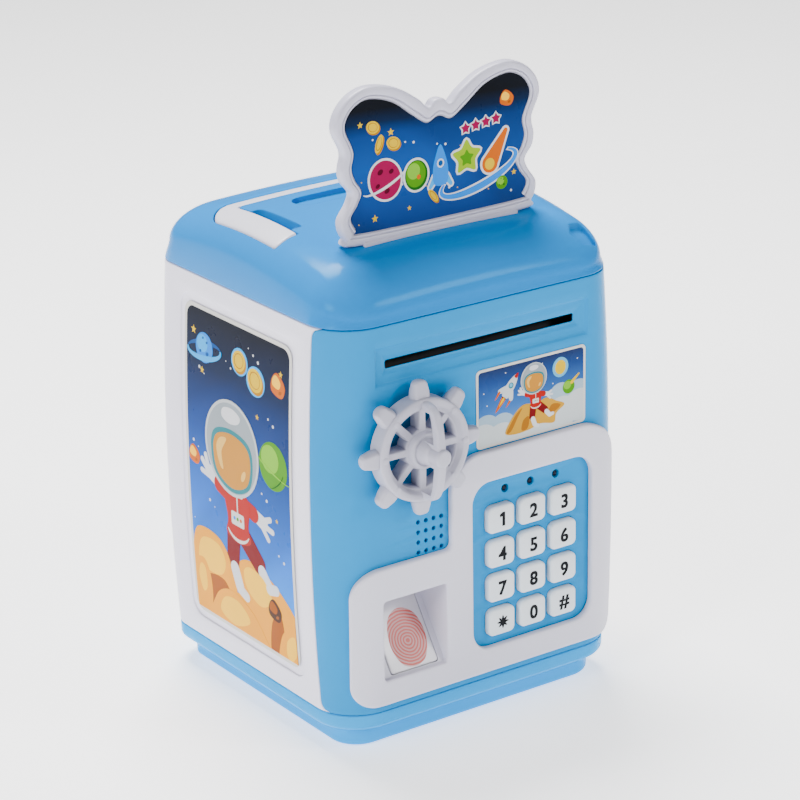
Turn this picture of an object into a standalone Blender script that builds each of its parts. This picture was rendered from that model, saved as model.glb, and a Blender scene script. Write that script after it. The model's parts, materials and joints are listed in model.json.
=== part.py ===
"""Toy ATM savings bank: a coin and banknote bank with a keypad door, a turning
wheel latch, a fingerprint pad, a folding carry handle and an upright sign.

Axes: +Z up, the front (door) faces -Y, the carry handle's hinge runs along X.
All driving dimensions are millimetres and are scaled once, in new_object().
"""
import bpy
import bmesh
from math import acos, asin, atan2, cos, pi, sin, sqrt
from mathutils import Matrix, Vector

MM = 0.001
GAP = 0.3
SHIFT_Y = 10.3         # moves the origin under the middle of the overall box, wheel included

# ---- body envelope ---------------------------------------------------------
HALF_W = 68.0          # half width at the belly of the barrel-shaped sides
BELLY_Z = 88.6
BELLY_DROP = 3.2       # how much narrower the body is 80 mm above the belly
HALF_D = 61.7
FRONT_R = 18.0         # plan radius of the two front corners
REAR_R = 12.3
WALL = 2.4
BASE_TOP = 16.0
SEAM_TOP = 166.3       # underside of the lid
FLOOR_Z = 0.6          # underside of the base, above the rubber feet
STEP_Z = 9.6
PLINTH_INSET = 6.0
SEAM_Y = -46.9         # left edge of the door
SHELL_RIGHT_Y = -42.7  # front edge of the shell on the hinge side
CORNER_Y = -HALF_D + FRONT_R

# ---- lid ---------------------------------------------------------------------
LID_TOP = 192.0
LID_CROWN_Y = 8.0      # crest of the lid, measured from the middle
LID_DROP_Y = 8.0       # fall of the crown 62 mm from its crest
LID_DROP_X = 2.2
LID_EDGE_PLAN = 17.0   # soft edge: width in plan and height
LID_EDGE_RISE = 12.5
LID_DRAFT = 1.0
LID_CEILING = 7.0      # thickness of the lid's top
LID_CELLS = (3, 5)     # how many flat cells follow the crown across X and along Y
HANDLE_OUT = 58.2
HANDLE_IN = 48.2
HANDLE_REAR = 33.0
HANDLE_BAR = 6.0
HANDLE_FLOOR = 184.4
HANDLE_PIVOT = (-11.5, 187.3)   # y and z of the hinge along X
HANDLE_END_R = 2.9
FINGER_GAP = 5.2
TROUGH = (-31.0, 31.0, 8.0, 19.5)
COIN_SLOT = (-28.0, 28.0, 8.5, 12.9)
SIGN_Y = (-36.5, -31.5)
SIGN_HALF = (             # right half of the sign's outline, foot to notch
    (35.0, 187.6), (41.8, 191.0), (43.8, 197.6), (40.0, 203.5), (38.8, 207.5), (42.0, 211.8),
    (42.9, 216.5), (41.9, 222.8), (45.4, 231.0), (44.0, 237.5), (38.5, 243.0), (30.5, 245.4),
    (19.0, 243.3), (9.6, 237.9), (4.8, 233.9), (1.9, 236.0),
)

SIGN_PANEL_HALF = (       # right half of the printed panel inside the sign's rim
    (33.0, 191.9), (37.4, 194.2), (39.4, 198.6), (36.2, 203.4), (34.6, 207.6), (37.4, 212.4),
    (38.6, 216.8), (37.7, 222.8), (41.0, 231.0), (39.9, 235.8), (36.2, 239.4), (30.3, 241.0),
    (20.6, 238.4), (12.0, 232.3), (5.6, 228.3), (1.2, 229.8),
)

# ---- door --------------------------------------------------------------------
DOOR_BOTTOM = BASE_TOP + 0.4
DOOR_TOP = SEAM_TOP - 0.4
HINGE = (59.5, -48.5)  # door hinge axis in plan
PIN_R = 1.5
SLOT_Z = 150.85
SLOT_HALF = 42.6
SLOT_H = 3.2
FRAME_HALF = 48.0
FRAME_Z = (143.7, 158.1)
KEY_X = (6.0, 20.66, 35.32)
KEY_Z = (80.7, 66.8, 52.9, 39.0)
KEY_NAMES = ("1", "2", "3", "4", "5", "6", "7", "8", "9", "star", "0", "hash")
KEY_W = 12.2
KEY_H = 10.8
KEY_PROUD = 2.6
KEY_DEEP = 3.5         # how far the key's flange reaches behind the door's face
LED_X = (9.3, 21.2, 33.1)
LED_Z = 91.4
SPEAKER_X = (-30.4, -26.93, -23.46, -20.0)
SPEAKER_Z = (87.7, 83.7, 79.7, 75.7)
SPEAKER_AT = (-25.2, 81.7)
WHEEL_AT = (-33.0, 119.3)
RIM_R = 19.6           # wheel latch
RIM_FRONT = -71.0
SPOKE_Y = -67.1
GRIP_BAR = 3.6         # thickness of the grip that arches over the spokes
FASCIA_T = 2.7
TUB_X = (-48.0, -19.5)
TUB_Z = (29.5, 61.3)
TUB_LOW_Y = -62.0      # the sloping floor starts here, at the foot of the recess
TUB_SLOPE = 0.686      # rise of y for each millimetre of z
PAD_SHIFT = (0.8, -4.9)    # fingerprint pad's centre from the recess's: across, and up the slope
ROLLER_Y = -48.0
ROLLER_R = 4.0
ROLLER_DZ = 4.15
LOCK_OFF = 7.07
BATTERY_Z = (29.6, 44.75, 59.9)
BATTERY_Y = -44.5

FACE = -HALF_D

COLOURS = {
    "shell_white": (0.70, 0.70, 0.80),
    "lid_blue": (0.045, 0.46, 0.84),
    "door_blue": (0.055, 0.43, 0.74),
    "base_blue": (0.07, 0.50, 0.85),
    "fascia_white": (0.58, 0.58, 0.66),
    "handle_white": (0.68, 0.68, 0.76),
    "sign_white": (0.62, 0.62, 0.72),
    "wheel_white": (0.68, 0.68, 0.76),
    "key_white": (0.74, 0.77, 0.78),
    "label_print": (0.05, 0.16, 0.36),
    "sign_print": (0.03, 0.18, 0.45),
    "finger_pad": (0.55, 0.56, 0.58),
    "rubber_black": (0.03, 0.03, 0.035),
    "mat_grey": (0.30, 0.31, 0.33),
    "board_green": (0.02, 0.22, 0.10),
    "cover_white": (0.66, 0.66, 0.68),
    "dark_plastic": (0.05, 0.05, 0.06),
    "steel": (0.55, 0.56, 0.58),
    "cell_green": (0.05, 0.32, 0.16),
    "led_red": (0.75, 0.05, 0.04),
}


def clear_scene():
    for obj in list(bpy.data.objects):
        bpy.data.objects.remove(obj, do_unlink=True)


def make_collection(name):
    col = bpy.data.collections.new(name)
    bpy.context.scene.collection.children.link(col)
    return col


clear_scene()
PARTS = make_collection("toy_atm_savings_bank")
CUTTERS = make_collection("cutters")


def material(node, slot):
    mat = bpy.data.materials.new(node + "_material")
    mat.use_nodes = True
    shader = mat.node_tree.nodes["Principled BSDF"]
    shader.inputs["Base Color"].default_value = (*COLOURS[slot], 1.0)
    shader.inputs["Roughness"].default_value = 0.35
    metallic = 1.0 if slot == "steel" else 0.0
    shader.inputs["Metallic"].default_value = metallic
    return mat


def new_object(name, bm, col):
    bmesh.ops.remove_doubles(bm, verts=bm.verts, dist=0.004)
    bmesh.ops.recalc_face_normals(bm, faces=bm.faces)
    bmesh.ops.translate(bm, vec=(0.0, SHIFT_Y, 0.0), verts=bm.verts)
    bmesh.ops.scale(bm, vec=(MM, MM, MM), verts=bm.verts)
    mesh = bpy.data.meshes.new(name)
    bm.to_mesh(mesh)
    bm.free()
    obj = bpy.data.objects.new(name, mesh)
    col.objects.link(obj)
    return obj


def turned_object(name, axis, centre, profile, count, col):
    """Turned solid: a profile of (position along the axis, radius) swept by a Screw modifier.

    The profile always runs from the axis' high end to its low end, so its faces point outwards.
    """
    points = [(profile[0][0], 0.0)] + list(profile) + [(profile[-1][0], 0.0)]
    if points[0][0] < points[-1][0]:
        points.reverse()
    outwards = {"X": (1.0, 0.0), "Y": (0.0, 1.0), "Z": (1.0, 0.0)}[axis]
    verts = []
    for along, r in points:
        verts.append(Vector(place((r * outwards[0], r * outwards[1]), axis, along)) * MM)
    mesh = bpy.data.meshes.new(name)
    mesh.from_pydata(verts, [(i, i + 1) for i in range(len(verts) - 1)], [])
    obj = bpy.data.objects.new(name, mesh)
    col.objects.link(obj)
    obj.location = (Vector(place(centre, axis, 0.0)) + Vector((0.0, SHIFT_Y, 0.0))) * MM
    screw = obj.modifiers.new("turned", "SCREW")
    screw.axis = axis
    screw.steps = count
    screw.render_steps = count
    screw.use_merge_vertices = True
    screw.merge_threshold = 0.00001
    screw.use_smooth_shade = False
    return obj


def part(name, bm, slot):
    obj = new_object(name, bm, PARTS)
    obj.data.materials.append(material(name, slot))
    return obj


def turned_part(name, axis, centre, profile, count, slot):
    obj = turned_object(name, axis, centre, profile, count, PARTS)
    obj.data.materials.append(material(name, slot))
    return obj


def tool(name, bm):
    obj = new_object(name, bm, CUTTERS)
    obj.hide_render = True
    obj.display_type = "WIRE"
    return obj


def boolean(obj, other, operation):
    mod = obj.modifiers.new(operation.lower() + "_" + other.name, "BOOLEAN")
    mod.operation = operation
    mod.solver = "EXACT"
    mod.object = other


def cut(obj, other):
    boolean(obj, other, "DIFFERENCE")


def join(obj, other):
    boolean(obj, other, "UNION")


def move_origin(obj, point):
    """Put the object's origin on its joint axis without moving its mesh."""
    offset = Vector((point[0], point[1] + SHIFT_Y, point[2])) * MM
    obj.data.transform(Matrix.Translation(obj.location - offset))
    obj.location = offset


# ---- solids, in millimetres ----------------------------------------------------
def loft(bm, rings):
    """Skin a stack of equal-length rings and close both ends."""
    rows = [[bm.verts.new(p) for p in ring] for ring in rings]
    count = len(rows[0])
    for low, high in zip(rows, rows[1:]):
        for i in range(count):
            j = (i + 1) % count
            bm.faces.new((low[i], low[j], high[j], high[i]))
    bm.faces.new(list(reversed(rows[0])))
    bm.faces.new(rows[-1])
    return bm


def place(point, axis, along):
    a, b = point
    if axis == "X":
        return (along, a, b)
    if axis == "Y":
        return (a, along, b)
    return (a, b, along)


def prism(bm, outline, axis, levels):
    """A flat outline between two positions along an axis: a filled 2D curve with depth."""
    curve = bpy.data.curves.new("outline", "CURVE")
    curve.dimensions = "2D"
    curve.fill_mode = "BOTH"
    curve.extrude = abs(levels[1] - levels[0]) / 2.0
    spline = curve.splines.new("POLY")
    spline.points.add(len(outline) - 1)
    for point, (a, b) in zip(spline.points, outline):
        point.co = (a, b, 0.0, 1.0)
    spline.use_cyclic_u = True
    holder = bpy.data.objects.new("outline", curve)
    mesh = bpy.data.meshes.new_from_object(holder)
    solid = bmesh.new()
    solid.from_mesh(mesh)
    bpy.data.objects.remove(holder)
    bpy.data.curves.remove(curve)
    bpy.data.meshes.remove(mesh)
    bmesh.ops.remove_doubles(solid, verts=solid.verts, dist=0.001)
    bmesh.ops.dissolve_limit(solid, angle_limit=0.001, verts=solid.verts, edges=solid.edges)
    middle = (levels[0] + levels[1]) / 2.0
    for v in solid.verts:
        v.co = place((v.co.x, v.co.y), axis, middle + v.co.z)
    merge(bm, solid)
    return bm


def merge(bm, other):
    """Copy every face of other into bm."""
    table = {v: bm.verts.new(v.co) for v in other.verts}
    for face in other.faces:
        bm.faces.new([table[v] for v in face.verts])
    other.free()


def box(bm, x0, x1, y0, y1, z0, z1):
    middle = Vector((x0 + x1, y0 + y1, z0 + z1)) / 2.0
    size = Matrix.Diagonal((x1 - x0, y1 - y0, z1 - z0, 1.0))
    bmesh.ops.create_cube(bm, size=1.0, matrix=Matrix.Translation(middle) @ size)
    return bm


AXIS_TURN = {
    "X": Matrix.Rotation(pi / 2.0, 4, "Y"),
    "Y": Matrix.Rotation(-pi / 2.0, 4, "X"),
    "Z": Matrix.Identity(4),
}


def cylinder(bm, axis, centre, span, r, count):
    """Cylinder between two positions along an axis."""
    middle = Matrix.Translation(place(centre, axis, (span[0] + span[1]) / 2.0))
    bmesh.ops.create_cone(bm, cap_ends=True, segments=count, radius1=r, radius2=r,
                          depth=abs(span[1] - span[0]), matrix=middle @ AXIS_TURN[axis])
    return bm


def circle(a, b, r, count, phase=0.0):
    step = 2.0 * pi / count
    return [(a + r * cos(phase + i * step), b + r * sin(phase + i * step)) for i in range(count)]


def rounded(corners, count):
    """Outline from (a, b, radius) corners, each replaced by an arc of count steps."""
    out = []
    total = len(corners)
    for i in range(total):
        ax, ay, _ = corners[i - 1]
        bx, by, r = corners[i]
        cx, cy, _ = corners[(i + 1) % total]
        u = Vector((ax - bx, ay - by)).normalized()
        v = Vector((cx - bx, cy - by)).normalized()
        half = acos(max(-1.0, min(1.0, u.dot(v)))) / 2.0
        reach = r / max(sin(half), 1e-6)
        mid = (u + v).normalized() * reach
        centre = Vector((bx, by)) + mid
        start = Vector((bx, by)) + u * (r / (sin(half) / cos(half))) - centre
        end = Vector((bx, by)) + v * (r / (sin(half) / cos(half))) - centre
        a0 = atan2(start.y, start.x)
        a1 = atan2(end.y, end.x)
        turn = (a1 - a0 + pi) % (2.0 * pi) - pi
        for k in range(count + 1):
            a = a0 + turn * k / count
            out.append((centre.x + r * cos(a), centre.y + r * sin(a)))
    return out


def rect(a0, a1, b0, b1, r, count=4):
    return rounded([(a0, b0, r), (a1, b0, r), (a1, b1, r), (a0, b1, r)], count)


def inset(outline, d):
    """Move each point of a counter-clockwise outline inwards by d."""
    out = []
    total = len(outline)
    for i in range(total):
        p = Vector(outline[i - 1])
        q = Vector(outline[i])
        s = Vector(outline[(i + 1) % total])
        t = ((q - p).normalized() + (s - q).normalized()).normalized()
        out.append((q.x - t.y * d, q.y + t.x * d))
    return out


# ---- body sections ---------------------------------------------------------------
def half_width(z):
    return HALF_W - BELLY_DROP * ((z - BELLY_Z) / 80.0) ** 2


def corner_relief(z):
    """How far the door's left edge draws back near its rounded upper and lower ends."""
    r = 4.0
    t = max(z - (DOOR_TOP - r), (DOOR_BOTTOM + r) - z, 0.0)
    return r - sqrt(max(r * r - t * t, 0.0))


BULGE_Z = (32.0, 50.0, 69.0, 88.0, 107.0, 126.0, 145.0)


def z_stations(low, high):
    ends = (0.0, 0.5, 1.6, 4.0)
    return [low + e for e in ends] + list(BULGE_Z) + [high - e for e in reversed(ends)]


def slice_up(bm, points, normal):
    """Add edge loops where the planes through the points cross the mesh."""
    for point in points:
        geom = list(bm.verts) + list(bm.edges) + list(bm.faces)
        bmesh.ops.bisect_plane(bm, geom=geom, plane_co=point, plane_no=normal)


def door_section(z):
    """One plan section of the door: wrap-around skin with a solid hinge lobe."""
    hw = half_width(z)
    cx = hw - FRONT_R
    edge = SEAM_Y - corner_relief(z)
    inner_r = FRONT_R - WALL
    t_out = acos((CORNER_Y - edge) / FRONT_R)
    t_in = acos((CORNER_Y - edge) / inner_r)
    t_hinge = acos((CORNER_Y - HINGE[1]) / FRONT_R)
    lobe_r = cx + FRONT_R * sin(t_hinge) - HINGE[0]
    pts = []
    for k in range(9):
        t = t_out * (1.0 - k / 8.0)
        pts.append((-cx - FRONT_R * sin(t), CORNER_Y - FRONT_R * cos(t)))
    for k in range(9):
        t = t_hinge * k / 8.0
        pts.append((cx + FRONT_R * sin(t), CORNER_Y - FRONT_R * cos(t)))
    for k in range(1, 6):
        t = 0.5 * pi * k / 5.0
        pts.append((HINGE[0] + lobe_r * cos(t), HINGE[1] + lobe_r * sin(t)))
    lobe_x = 54.2
    pts.append((lobe_x, HINGE[1] + lobe_r))
    t_end = asin((lobe_x - cx) / inner_r)
    for k in range(4):
        t = t_end * (1.0 - k / 3.0)
        pts.append((cx + inner_r * sin(t), CORNER_Y - inner_r * cos(t)))
    for k in range(7):
        t = t_in * k / 6.0
        pts.append((-cx - inner_r * sin(t), CORNER_Y - inner_r * cos(t)))
    return [(x, y, z) for x, y in pts]


def shell_section(z):
    """One plan section of the U-shaped shell: two sides and the back."""
    hw = half_width(z)
    cx = hw - FRONT_R
    edge = SEAM_Y + GAP - corner_relief(z)
    inner_r = FRONT_R - WALL
    t_out = acos((CORNER_Y - edge) / FRONT_R)
    t_in = acos((CORNER_Y - edge) / inner_r)
    rx = hw - REAR_R
    ry = HALF_D - REAR_R
    r_in = REAR_R - WALL
    pts = []
    for k in range(4):
        t = t_in + (0.5 * pi - t_in) * k / 3.0
        pts.append((-cx - inner_r * sin(t), CORNER_Y - inner_r * cos(t)))
    for k in range(7):
        t = 0.5 * pi * k / 6.0
        pts.append((-rx - r_in * cos(t), ry + r_in * sin(t)))
    for k in range(7):
        t = 0.5 * pi * k / 6.0
        pts.append((rx + r_in * sin(t), ry + r_in * cos(t)))
    pts.append((hw - WALL, SHELL_RIGHT_Y))
    pts.append((hw, SHELL_RIGHT_Y))
    for k in range(8):
        t = 0.5 * pi * k / 7.0
        pts.append((rx + REAR_R * cos(t), ry + REAR_R * sin(t)))
    for k in range(8):
        t = 0.5 * pi * k / 7.0
        pts.append((-rx - REAR_R * sin(t), ry + REAR_R * cos(t)))
    for k in range(4):
        t = 0.5 * pi + (t_out - 0.5 * pi) * k / 3.0
        pts.append((-cx - FRONT_R * sin(t), CORNER_Y - FRONT_R * cos(t)))
    return [(x, y, z) for x, y in pts]


def plan(hw, offset, z, count=6):
    """Rounded plan rectangle of the body, drawn in by offset."""
    hx = hw - offset
    hy = HALF_D - offset
    front = max(FRONT_R - offset, 1.5)
    rear = max(REAR_R - offset, 1.5)
    corners = [(-hx, -hy, front), (hx, -hy, front), (hx, hy, rear), (-hx, hy, rear)]
    return [(x, y, z) for x, y in rounded(corners, count)]


def side_patch(bm, sign, y0, y1, z0, z1, r, w0, w1):
    """Rounded panel that follows the bulging side, from offset w0 to w1."""
    outline = rect(y0, y1, z0, z1, r, 4)
    prism(bm, outline, "X", (-w1, -w0))
    slice_up(bm, [(0, 0, z) for z in BULGE_Z], (0, 0, 1))
    for v in bm.verts:
        v.co.x = sign * (half_width(v.co.z) - v.co.x)
    return bm


# ---- lid surface -----------------------------------------------------------------
def crown(x, y):
    return LID_TOP - LID_DROP_X * (x / 65.0) ** 2 - LID_DROP_Y * ((y - LID_CROWN_Y) / 62.0) ** 2


def lid_ring(offset, lower, count=5):
    """Ring of the lid's outer surface, offset inwards from the side walls."""
    hw = half_width(SEAM_TOP) - LID_DRAFT
    u = max(LID_EDGE_PLAN - offset, 0.0) / LID_EDGE_PLAN
    drop = LID_EDGE_RISE * (1.0 - sqrt(max(1.0 - u * u, 0.0)))
    hx = hw - offset
    hy = HALF_D - 0.6 * LID_DRAFT - offset
    front = max(FRONT_R - 0.75 * offset, 3.0)
    rear = max(REAR_R + 2.0 - 0.6 * offset, 3.0)
    corners = [(-hx, -hy, front), (hx, -hy, front), (hx, hy, rear), (-hx, hy, rear)]
    outline = fill_in(rounded(corners, count), LID_CELLS[0], LID_CELLS[1])
    return [(x, y, crown(x, y) - drop - lower) for x, y in outline]


def lid_foot(offset, z):
    """Plan ring at the lid's seam with as many points as the rings above it."""
    ring = plan(half_width(SEAM_TOP), offset, z, 5)
    return fill_in(ring, LID_CELLS[0], LID_CELLS[1])


def lid_rings(lower):
    rings = []
    for k in range(7):
        t = 0.5 * pi * k / 6.0
        rings.append(lid_ring(LID_EDGE_PLAN * (1.0 - cos(t)), lower))
    for offset in (29.0, 43.0, 56.0):
        rings.append(lid_ring(offset, lower))
    return rings


def fill_in(points, across, along):
    """Add evenly spaced points to a ring's four straight edges: across X, then along Y."""
    out = []
    quarter = len(points) // 4
    for i in range(4):
        out += points[i * quarter:(i + 1) * quarter]
        start = Vector(points[(i + 1) * quarter - 1])
        end = Vector(points[(i + 1) * quarter % len(points)])
        steps = along if i % 2 else across
        out += [tuple(start.lerp(end, k / steps)) for k in range(1, steps)]
    return out


def handle_outline(grow):
    """The handle's U in plan, from the pivots round the rear bar."""
    front = HANDLE_PIVOT[0] - HANDLE_END_R - grow
    out = HANDLE_OUT + grow
    inn = HANDLE_IN - grow
    rear = HANDLE_REAR + grow
    bar = HANDLE_REAR - HANDLE_BAR - grow
    corners = [
        (-out, front, 0.4), (-inn, front, 0.4), (-inn, bar, 2.0), (inn, bar, 2.0),
        (inn, front, 0.4), (out, front, 0.4), (out, rear, 9.0), (-out, rear, 9.0),
    ]
    return rounded(corners, 4)


# ---- static shell parts -----------------------------------------------------------
FEET_AT = ((-46.0, -42.0), (44.0, -42.0), (44.0, 42.0), (-46.0, 42.0))
SCREW_AT = ((-50.5, -24.0), (50.5, -24.0), (50.5, 28.0), (-50.5, 28.0))
COVER_SCREW_AT = ((-46.5, 133.0), (42.5, 133.0), (-46.0, 74.0), (42.5, 103.0))


def build_base():
    hw = half_width(BASE_TOP)
    bm = bmesh.new()
    rings = [
        plan(hw, PLINTH_INSET + 1.0, FLOOR_Z),
        plan(hw, PLINTH_INSET, FLOOR_Z + 1.0),
        plan(hw, PLINTH_INSET, STEP_Z - 1.2),
        plan(hw, 1.2, STEP_Z),
        plan(hw, 0.0, STEP_Z + 1.2),
        plan(hw, 0.0, BASE_TOP - 0.5),
        plan(hw, 0.5, BASE_TOP),
        plan(hw, WALL + 0.4, BASE_TOP),
        plan(hw, WALL + 0.4, BASE_TOP + 2.6),
        plan(hw, WALL + 2.0, BASE_TOP + 2.6),
        plan(hw, WALL + 7.0, 4.0),
    ]
    loft(bm, rings)
    base = part("base", bm, "base_blue")
    notch = bmesh.new()
    box(notch, 45.0, 70.0, -70.0, -37.0, BASE_TOP + 0.05, BASE_TOP + 8.0)
    cut(base, tool("base_notch", notch))
    post = bmesh.new()
    cylinder(post, "Z", HINGE, (STEP_Z + 1.4, BASE_TOP - 0.05), 4.2, 20)
    join(base, tool("base_hinge_post", post))
    recesses = bmesh.new()
    for x, y in SCREW_AT:
        cylinder(recesses, "Z", (x, y), (-1.0, 2.3), 3.0, 12)
    for x, y in FEET_AT:
        cylinder(recesses, "Z", (x, y), (-1.0, 1.6), 6.3, 14)
    cut(base, tool("base_recesses", recesses))
    holes = bmesh.new()
    cylinder(holes, "Z", HINGE, (11.8, BASE_TOP + 5.0), PIN_R + 0.05, 20)
    for x, y in SCREW_AT:
        cylinder(holes, "Z", (x, y), (1.0, 8.0), 1.5, 12)
    cut(base, tool("base_holes", holes))


def build_feet():
    for i, (x, y) in enumerate(FEET_AT):
        profile = [(0.0, 5.4), (0.4, 6.0), (1.4, 6.0)]
        turned_part("foot_%d" % (i + 1), "Z", (x, y), profile, 14, "rubber_black")


def build_base_screws():
    for i, (x, y) in enumerate(SCREW_AT):
        profile = [(0.9, 2.4), (1.3, 2.7), (2.2, 2.7), (2.2, 1.2), (16.0, 1.2)]
        turned_part("base_screw_%d" % (i + 1), "Z", (x, y), profile, 8, "steel")


def build_shell():
    low = BASE_TOP + 0.35
    high = SEAM_TOP - 0.35
    bm = bmesh.new()
    loft(bm, [shell_section(z) for z in z_stations(low, high)])
    shell = part("body_shell", bm, "shell_white")
    posts = bmesh.new()
    for x, y in SCREW_AT:
        sign = 1.0 if x > 0 else -1.0
        edge = sign * (half_width(24.0) - WALL + 0.8)
        inner = x - sign * 3.2
        outer = x + sign * 3.2
        outline = [(inner, 4.4), (outer, 4.4), (outer, 20.0), (edge, 20.0), (edge, 28.0), (inner, 28.0)]
        prism(posts, outline, "Y", (y - 3.2, y + 3.2))
    join(shell, tool("shell_posts", posts))
    keeper = bmesh.new()
    box(keeper, -66.4, -58.6, SEAM_Y + 0.7, -44.6, 110.0, 129.0)
    join(shell, tool("latch_keeper", keeper))
    holes = bmesh.new()
    for x, y in SCREW_AT:
        cylinder(holes, "Z", (x, y), (2.0, 18.0), 1.4, 16)
    cut(shell, tool("shell_screw_holes", holes))
    for sign, tag in ((-1, "left"), (1, "right")):
        frame = bmesh.new()
        side_patch(frame, sign, -38.2, 41.0, 25.2, 158.2, 6.5, -0.8, 3.0)
        cut(shell, tool("recess_" + tag, frame))


def build_side_labels():
    for sign, tag in ((-1, "left"), (1, "right")):
        bm = bmesh.new()
        side_patch(bm, sign, -35.0, 38.4, 28.1, 155.0, 5.0, -0.75, -0.40)
        part("label_" + tag, bm, "label_print")


def build_lid():
    bm = bmesh.new()
    loft(bm, [lid_foot(0.0, SEAM_TOP)] + lid_rings(0.0))
    lid = part("top_cover", bm, "lid_blue")
    plug = bmesh.new()
    loft(plug, [lid_foot(WALL + 0.4, SEAM_TOP - 3.0), lid_foot(WALL + 0.4, SEAM_TOP + 1.0)])
    plug = tool("lid_plug", plug)
    notch = bmesh.new()
    box(notch, 44.0, 70.0, -70.0, -37.0, SEAM_TOP - 8.0, SEAM_TOP + 8.0)
    cut(plug, tool("lid_notch", notch))
    join(lid, plug)
    hollow = bmesh.new()
    rings = [lid_foot(WALL + 2.0, SEAM_TOP - 6.0), lid_foot(WALL + 2.0, SEAM_TOP + 2.4),
             lid_foot(WALL, SEAM_TOP + 3.0), lid_foot(WALL, SEAM_TOP + 6.0)]
    for offset in (9.0, 14.0, 20.0, 34.0, 50.0):
        rings.append(lid_ring(offset, LID_CEILING))
    loft(hollow, rings)
    cut(lid, tool("lid_hollow", hollow))
    pads = bmesh.new()
    prism(pads, handle_outline(1.6), "Z", (180.8, 184.3))
    cylinder(pads, "Z", HINGE, (SEAM_TOP + 0.05, 172.6), 3.3, 20)
    join(lid, tool("lid_pads", pads))
    cuts = bmesh.new()
    prism(cuts, handle_outline(0.35), "Z", (HANDLE_FLOOR - 0.35, 200.0))
    for sign in (-1.0, 1.0):
        tab = sorted((sign * 11.6, sign * 24.4))
        box(cuts, tab[0], tab[1], -35.5, -32.5, 176.0, 195.0)
    cylinder(cuts, "Z", HINGE, (SEAM_TOP - 3.0, 171.2), PIN_R + 0.05, 20)
    prism(cuts, rect(*TROUGH, 5.6, 5), "Z", (189.4, 200.0))
    cut(lid, tool("lid_cuts", cuts))
    slot = bmesh.new()
    prism(slot, rect(*COIN_SLOT, 2.0, 3), "Z", (176.0, 195.0))
    for sign in (-1.0, 1.0):
        x0 = sign * (HANDLE_IN + 0.2)
        x1 = sign * (HANDLE_IN - FINGER_GAP)
        x2 = sign * (HANDLE_IN - FINGER_GAP + 0.8)
        prism(slot, [(x0, -9.6), (x1, -9.6), (x2, 17.0), (x0, 17.0)], "Z",
              (HANDLE_FLOOR - 0.2, 200.0))
    scoop = [(46.0, -53.5), (49.0, -57.0), (58.0, -55.0), (56.0, -47.0), (49.0, -49.0)]
    top = rounded([(x, y, 1.2) for x, y in scoop], 3)
    mid = Vector((51.5, -52.3))
    loft(slot, [[(mid.x + (x - mid.x) * k, mid.y + (y - mid.y) * k, z) for x, y in top]
                for z, k in ((181.2, 0.8), (190.0, 1.0))])
    cut(lid, tool("lid_slots", slot))
    sockets = bmesh.new()
    for sign in (-1.0, 1.0):
        ends = sorted((sign * 45.3, sign * (HANDLE_IN + 0.1)))
        cylinder(sockets, "X", HANDLE_PIVOT, ends, 1.3, 16)
    cut(lid, tool("lid_sockets", sockets))


def build_sign():
    outline = smooth(mirrored(SIGN_HALF), 2)
    inner = smooth(mirrored(SIGN_PANEL_HALF), 2)
    y0, y1 = SIGN_Y
    bm = bmesh.new()
    loft(bm, [[(x, y, z) for x, z in inset(outline, d)] for y, d in
              ((y1, 0.9), (y1 - 0.9, 0.0), (y0 + 0.9, 0.0), (y0, 1.0))])
    frame = part("sign_frame", bm, "sign_white")
    foot = bmesh.new()
    box(foot, -34.5, 34.5, -37.3, -30.7, 183.0, 188.9)
    join(frame, tool("sign_foot", foot))
    clear = bmesh.new()
    loft(clear, [lid_foot(1.0, SEAM_TOP)] + lid_rings(-GAP))
    cut(frame, tool("sign_clearance", clear))
    tabs = bmesh.new()
    for sign in (-1.0, 1.0):
        a, b = sorted((sign * 12.0, sign * 24.0))
        box(tabs, a, b, -35.1, -32.9, 180.5, 190.0)
    join(frame, tool("sign_tabs", tabs))
    panel = bmesh.new()
    loft(panel, [[(x, y, z) for x, z in inset(inner, d)] for y, d in
                 ((y0 - 1.0, -1.0), (y0, -1.0), (y0 + 1.0, 0.0), (y0 + 1.2, 0.0))])
    cut(frame, tool("sign_panel", panel))
    label = bmesh.new()
    loft(label, [[(x, y, z) for x, z in inset(inner, 0.3)] for y in (y0 + 0.75, y0 + 1.15)])
    part("sign_label", label, "sign_print")


def mirrored(half):
    return list(half) + [(-x, z) for x, z in reversed(half)]


def smooth(ctrl, steps):
    """Closed Catmull-Rom curve through the control points."""
    out = []
    n = len(ctrl)
    for i in range(n):
        p = [Vector(ctrl[(i + k - 1) % n]) for k in range(4)]
        for s in range(steps):
            t = s / steps
            a = 2.0 * p[1]
            b = (p[2] - p[0]) * t
            c = (2.0 * p[0] - 5.0 * p[1] + 4.0 * p[2] - p[3]) * t * t
            d = (3.0 * p[1] - p[0] - 3.0 * p[2] + p[3]) * t ** 3
            q = 0.5 * (a + b + c + d)
            out.append((q.x, q.y))
    return out


def build_hinge_pins():
    for tag, z0, z1 in (("bottom", 12.2, 26.0), ("top", 156.0, 170.8)):
        bm = bmesh.new()
        cylinder(bm, "Z", HINGE, (z0, z1), PIN_R, 20)
        part("hinge_pin_" + tag, bm, "steel")


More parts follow.
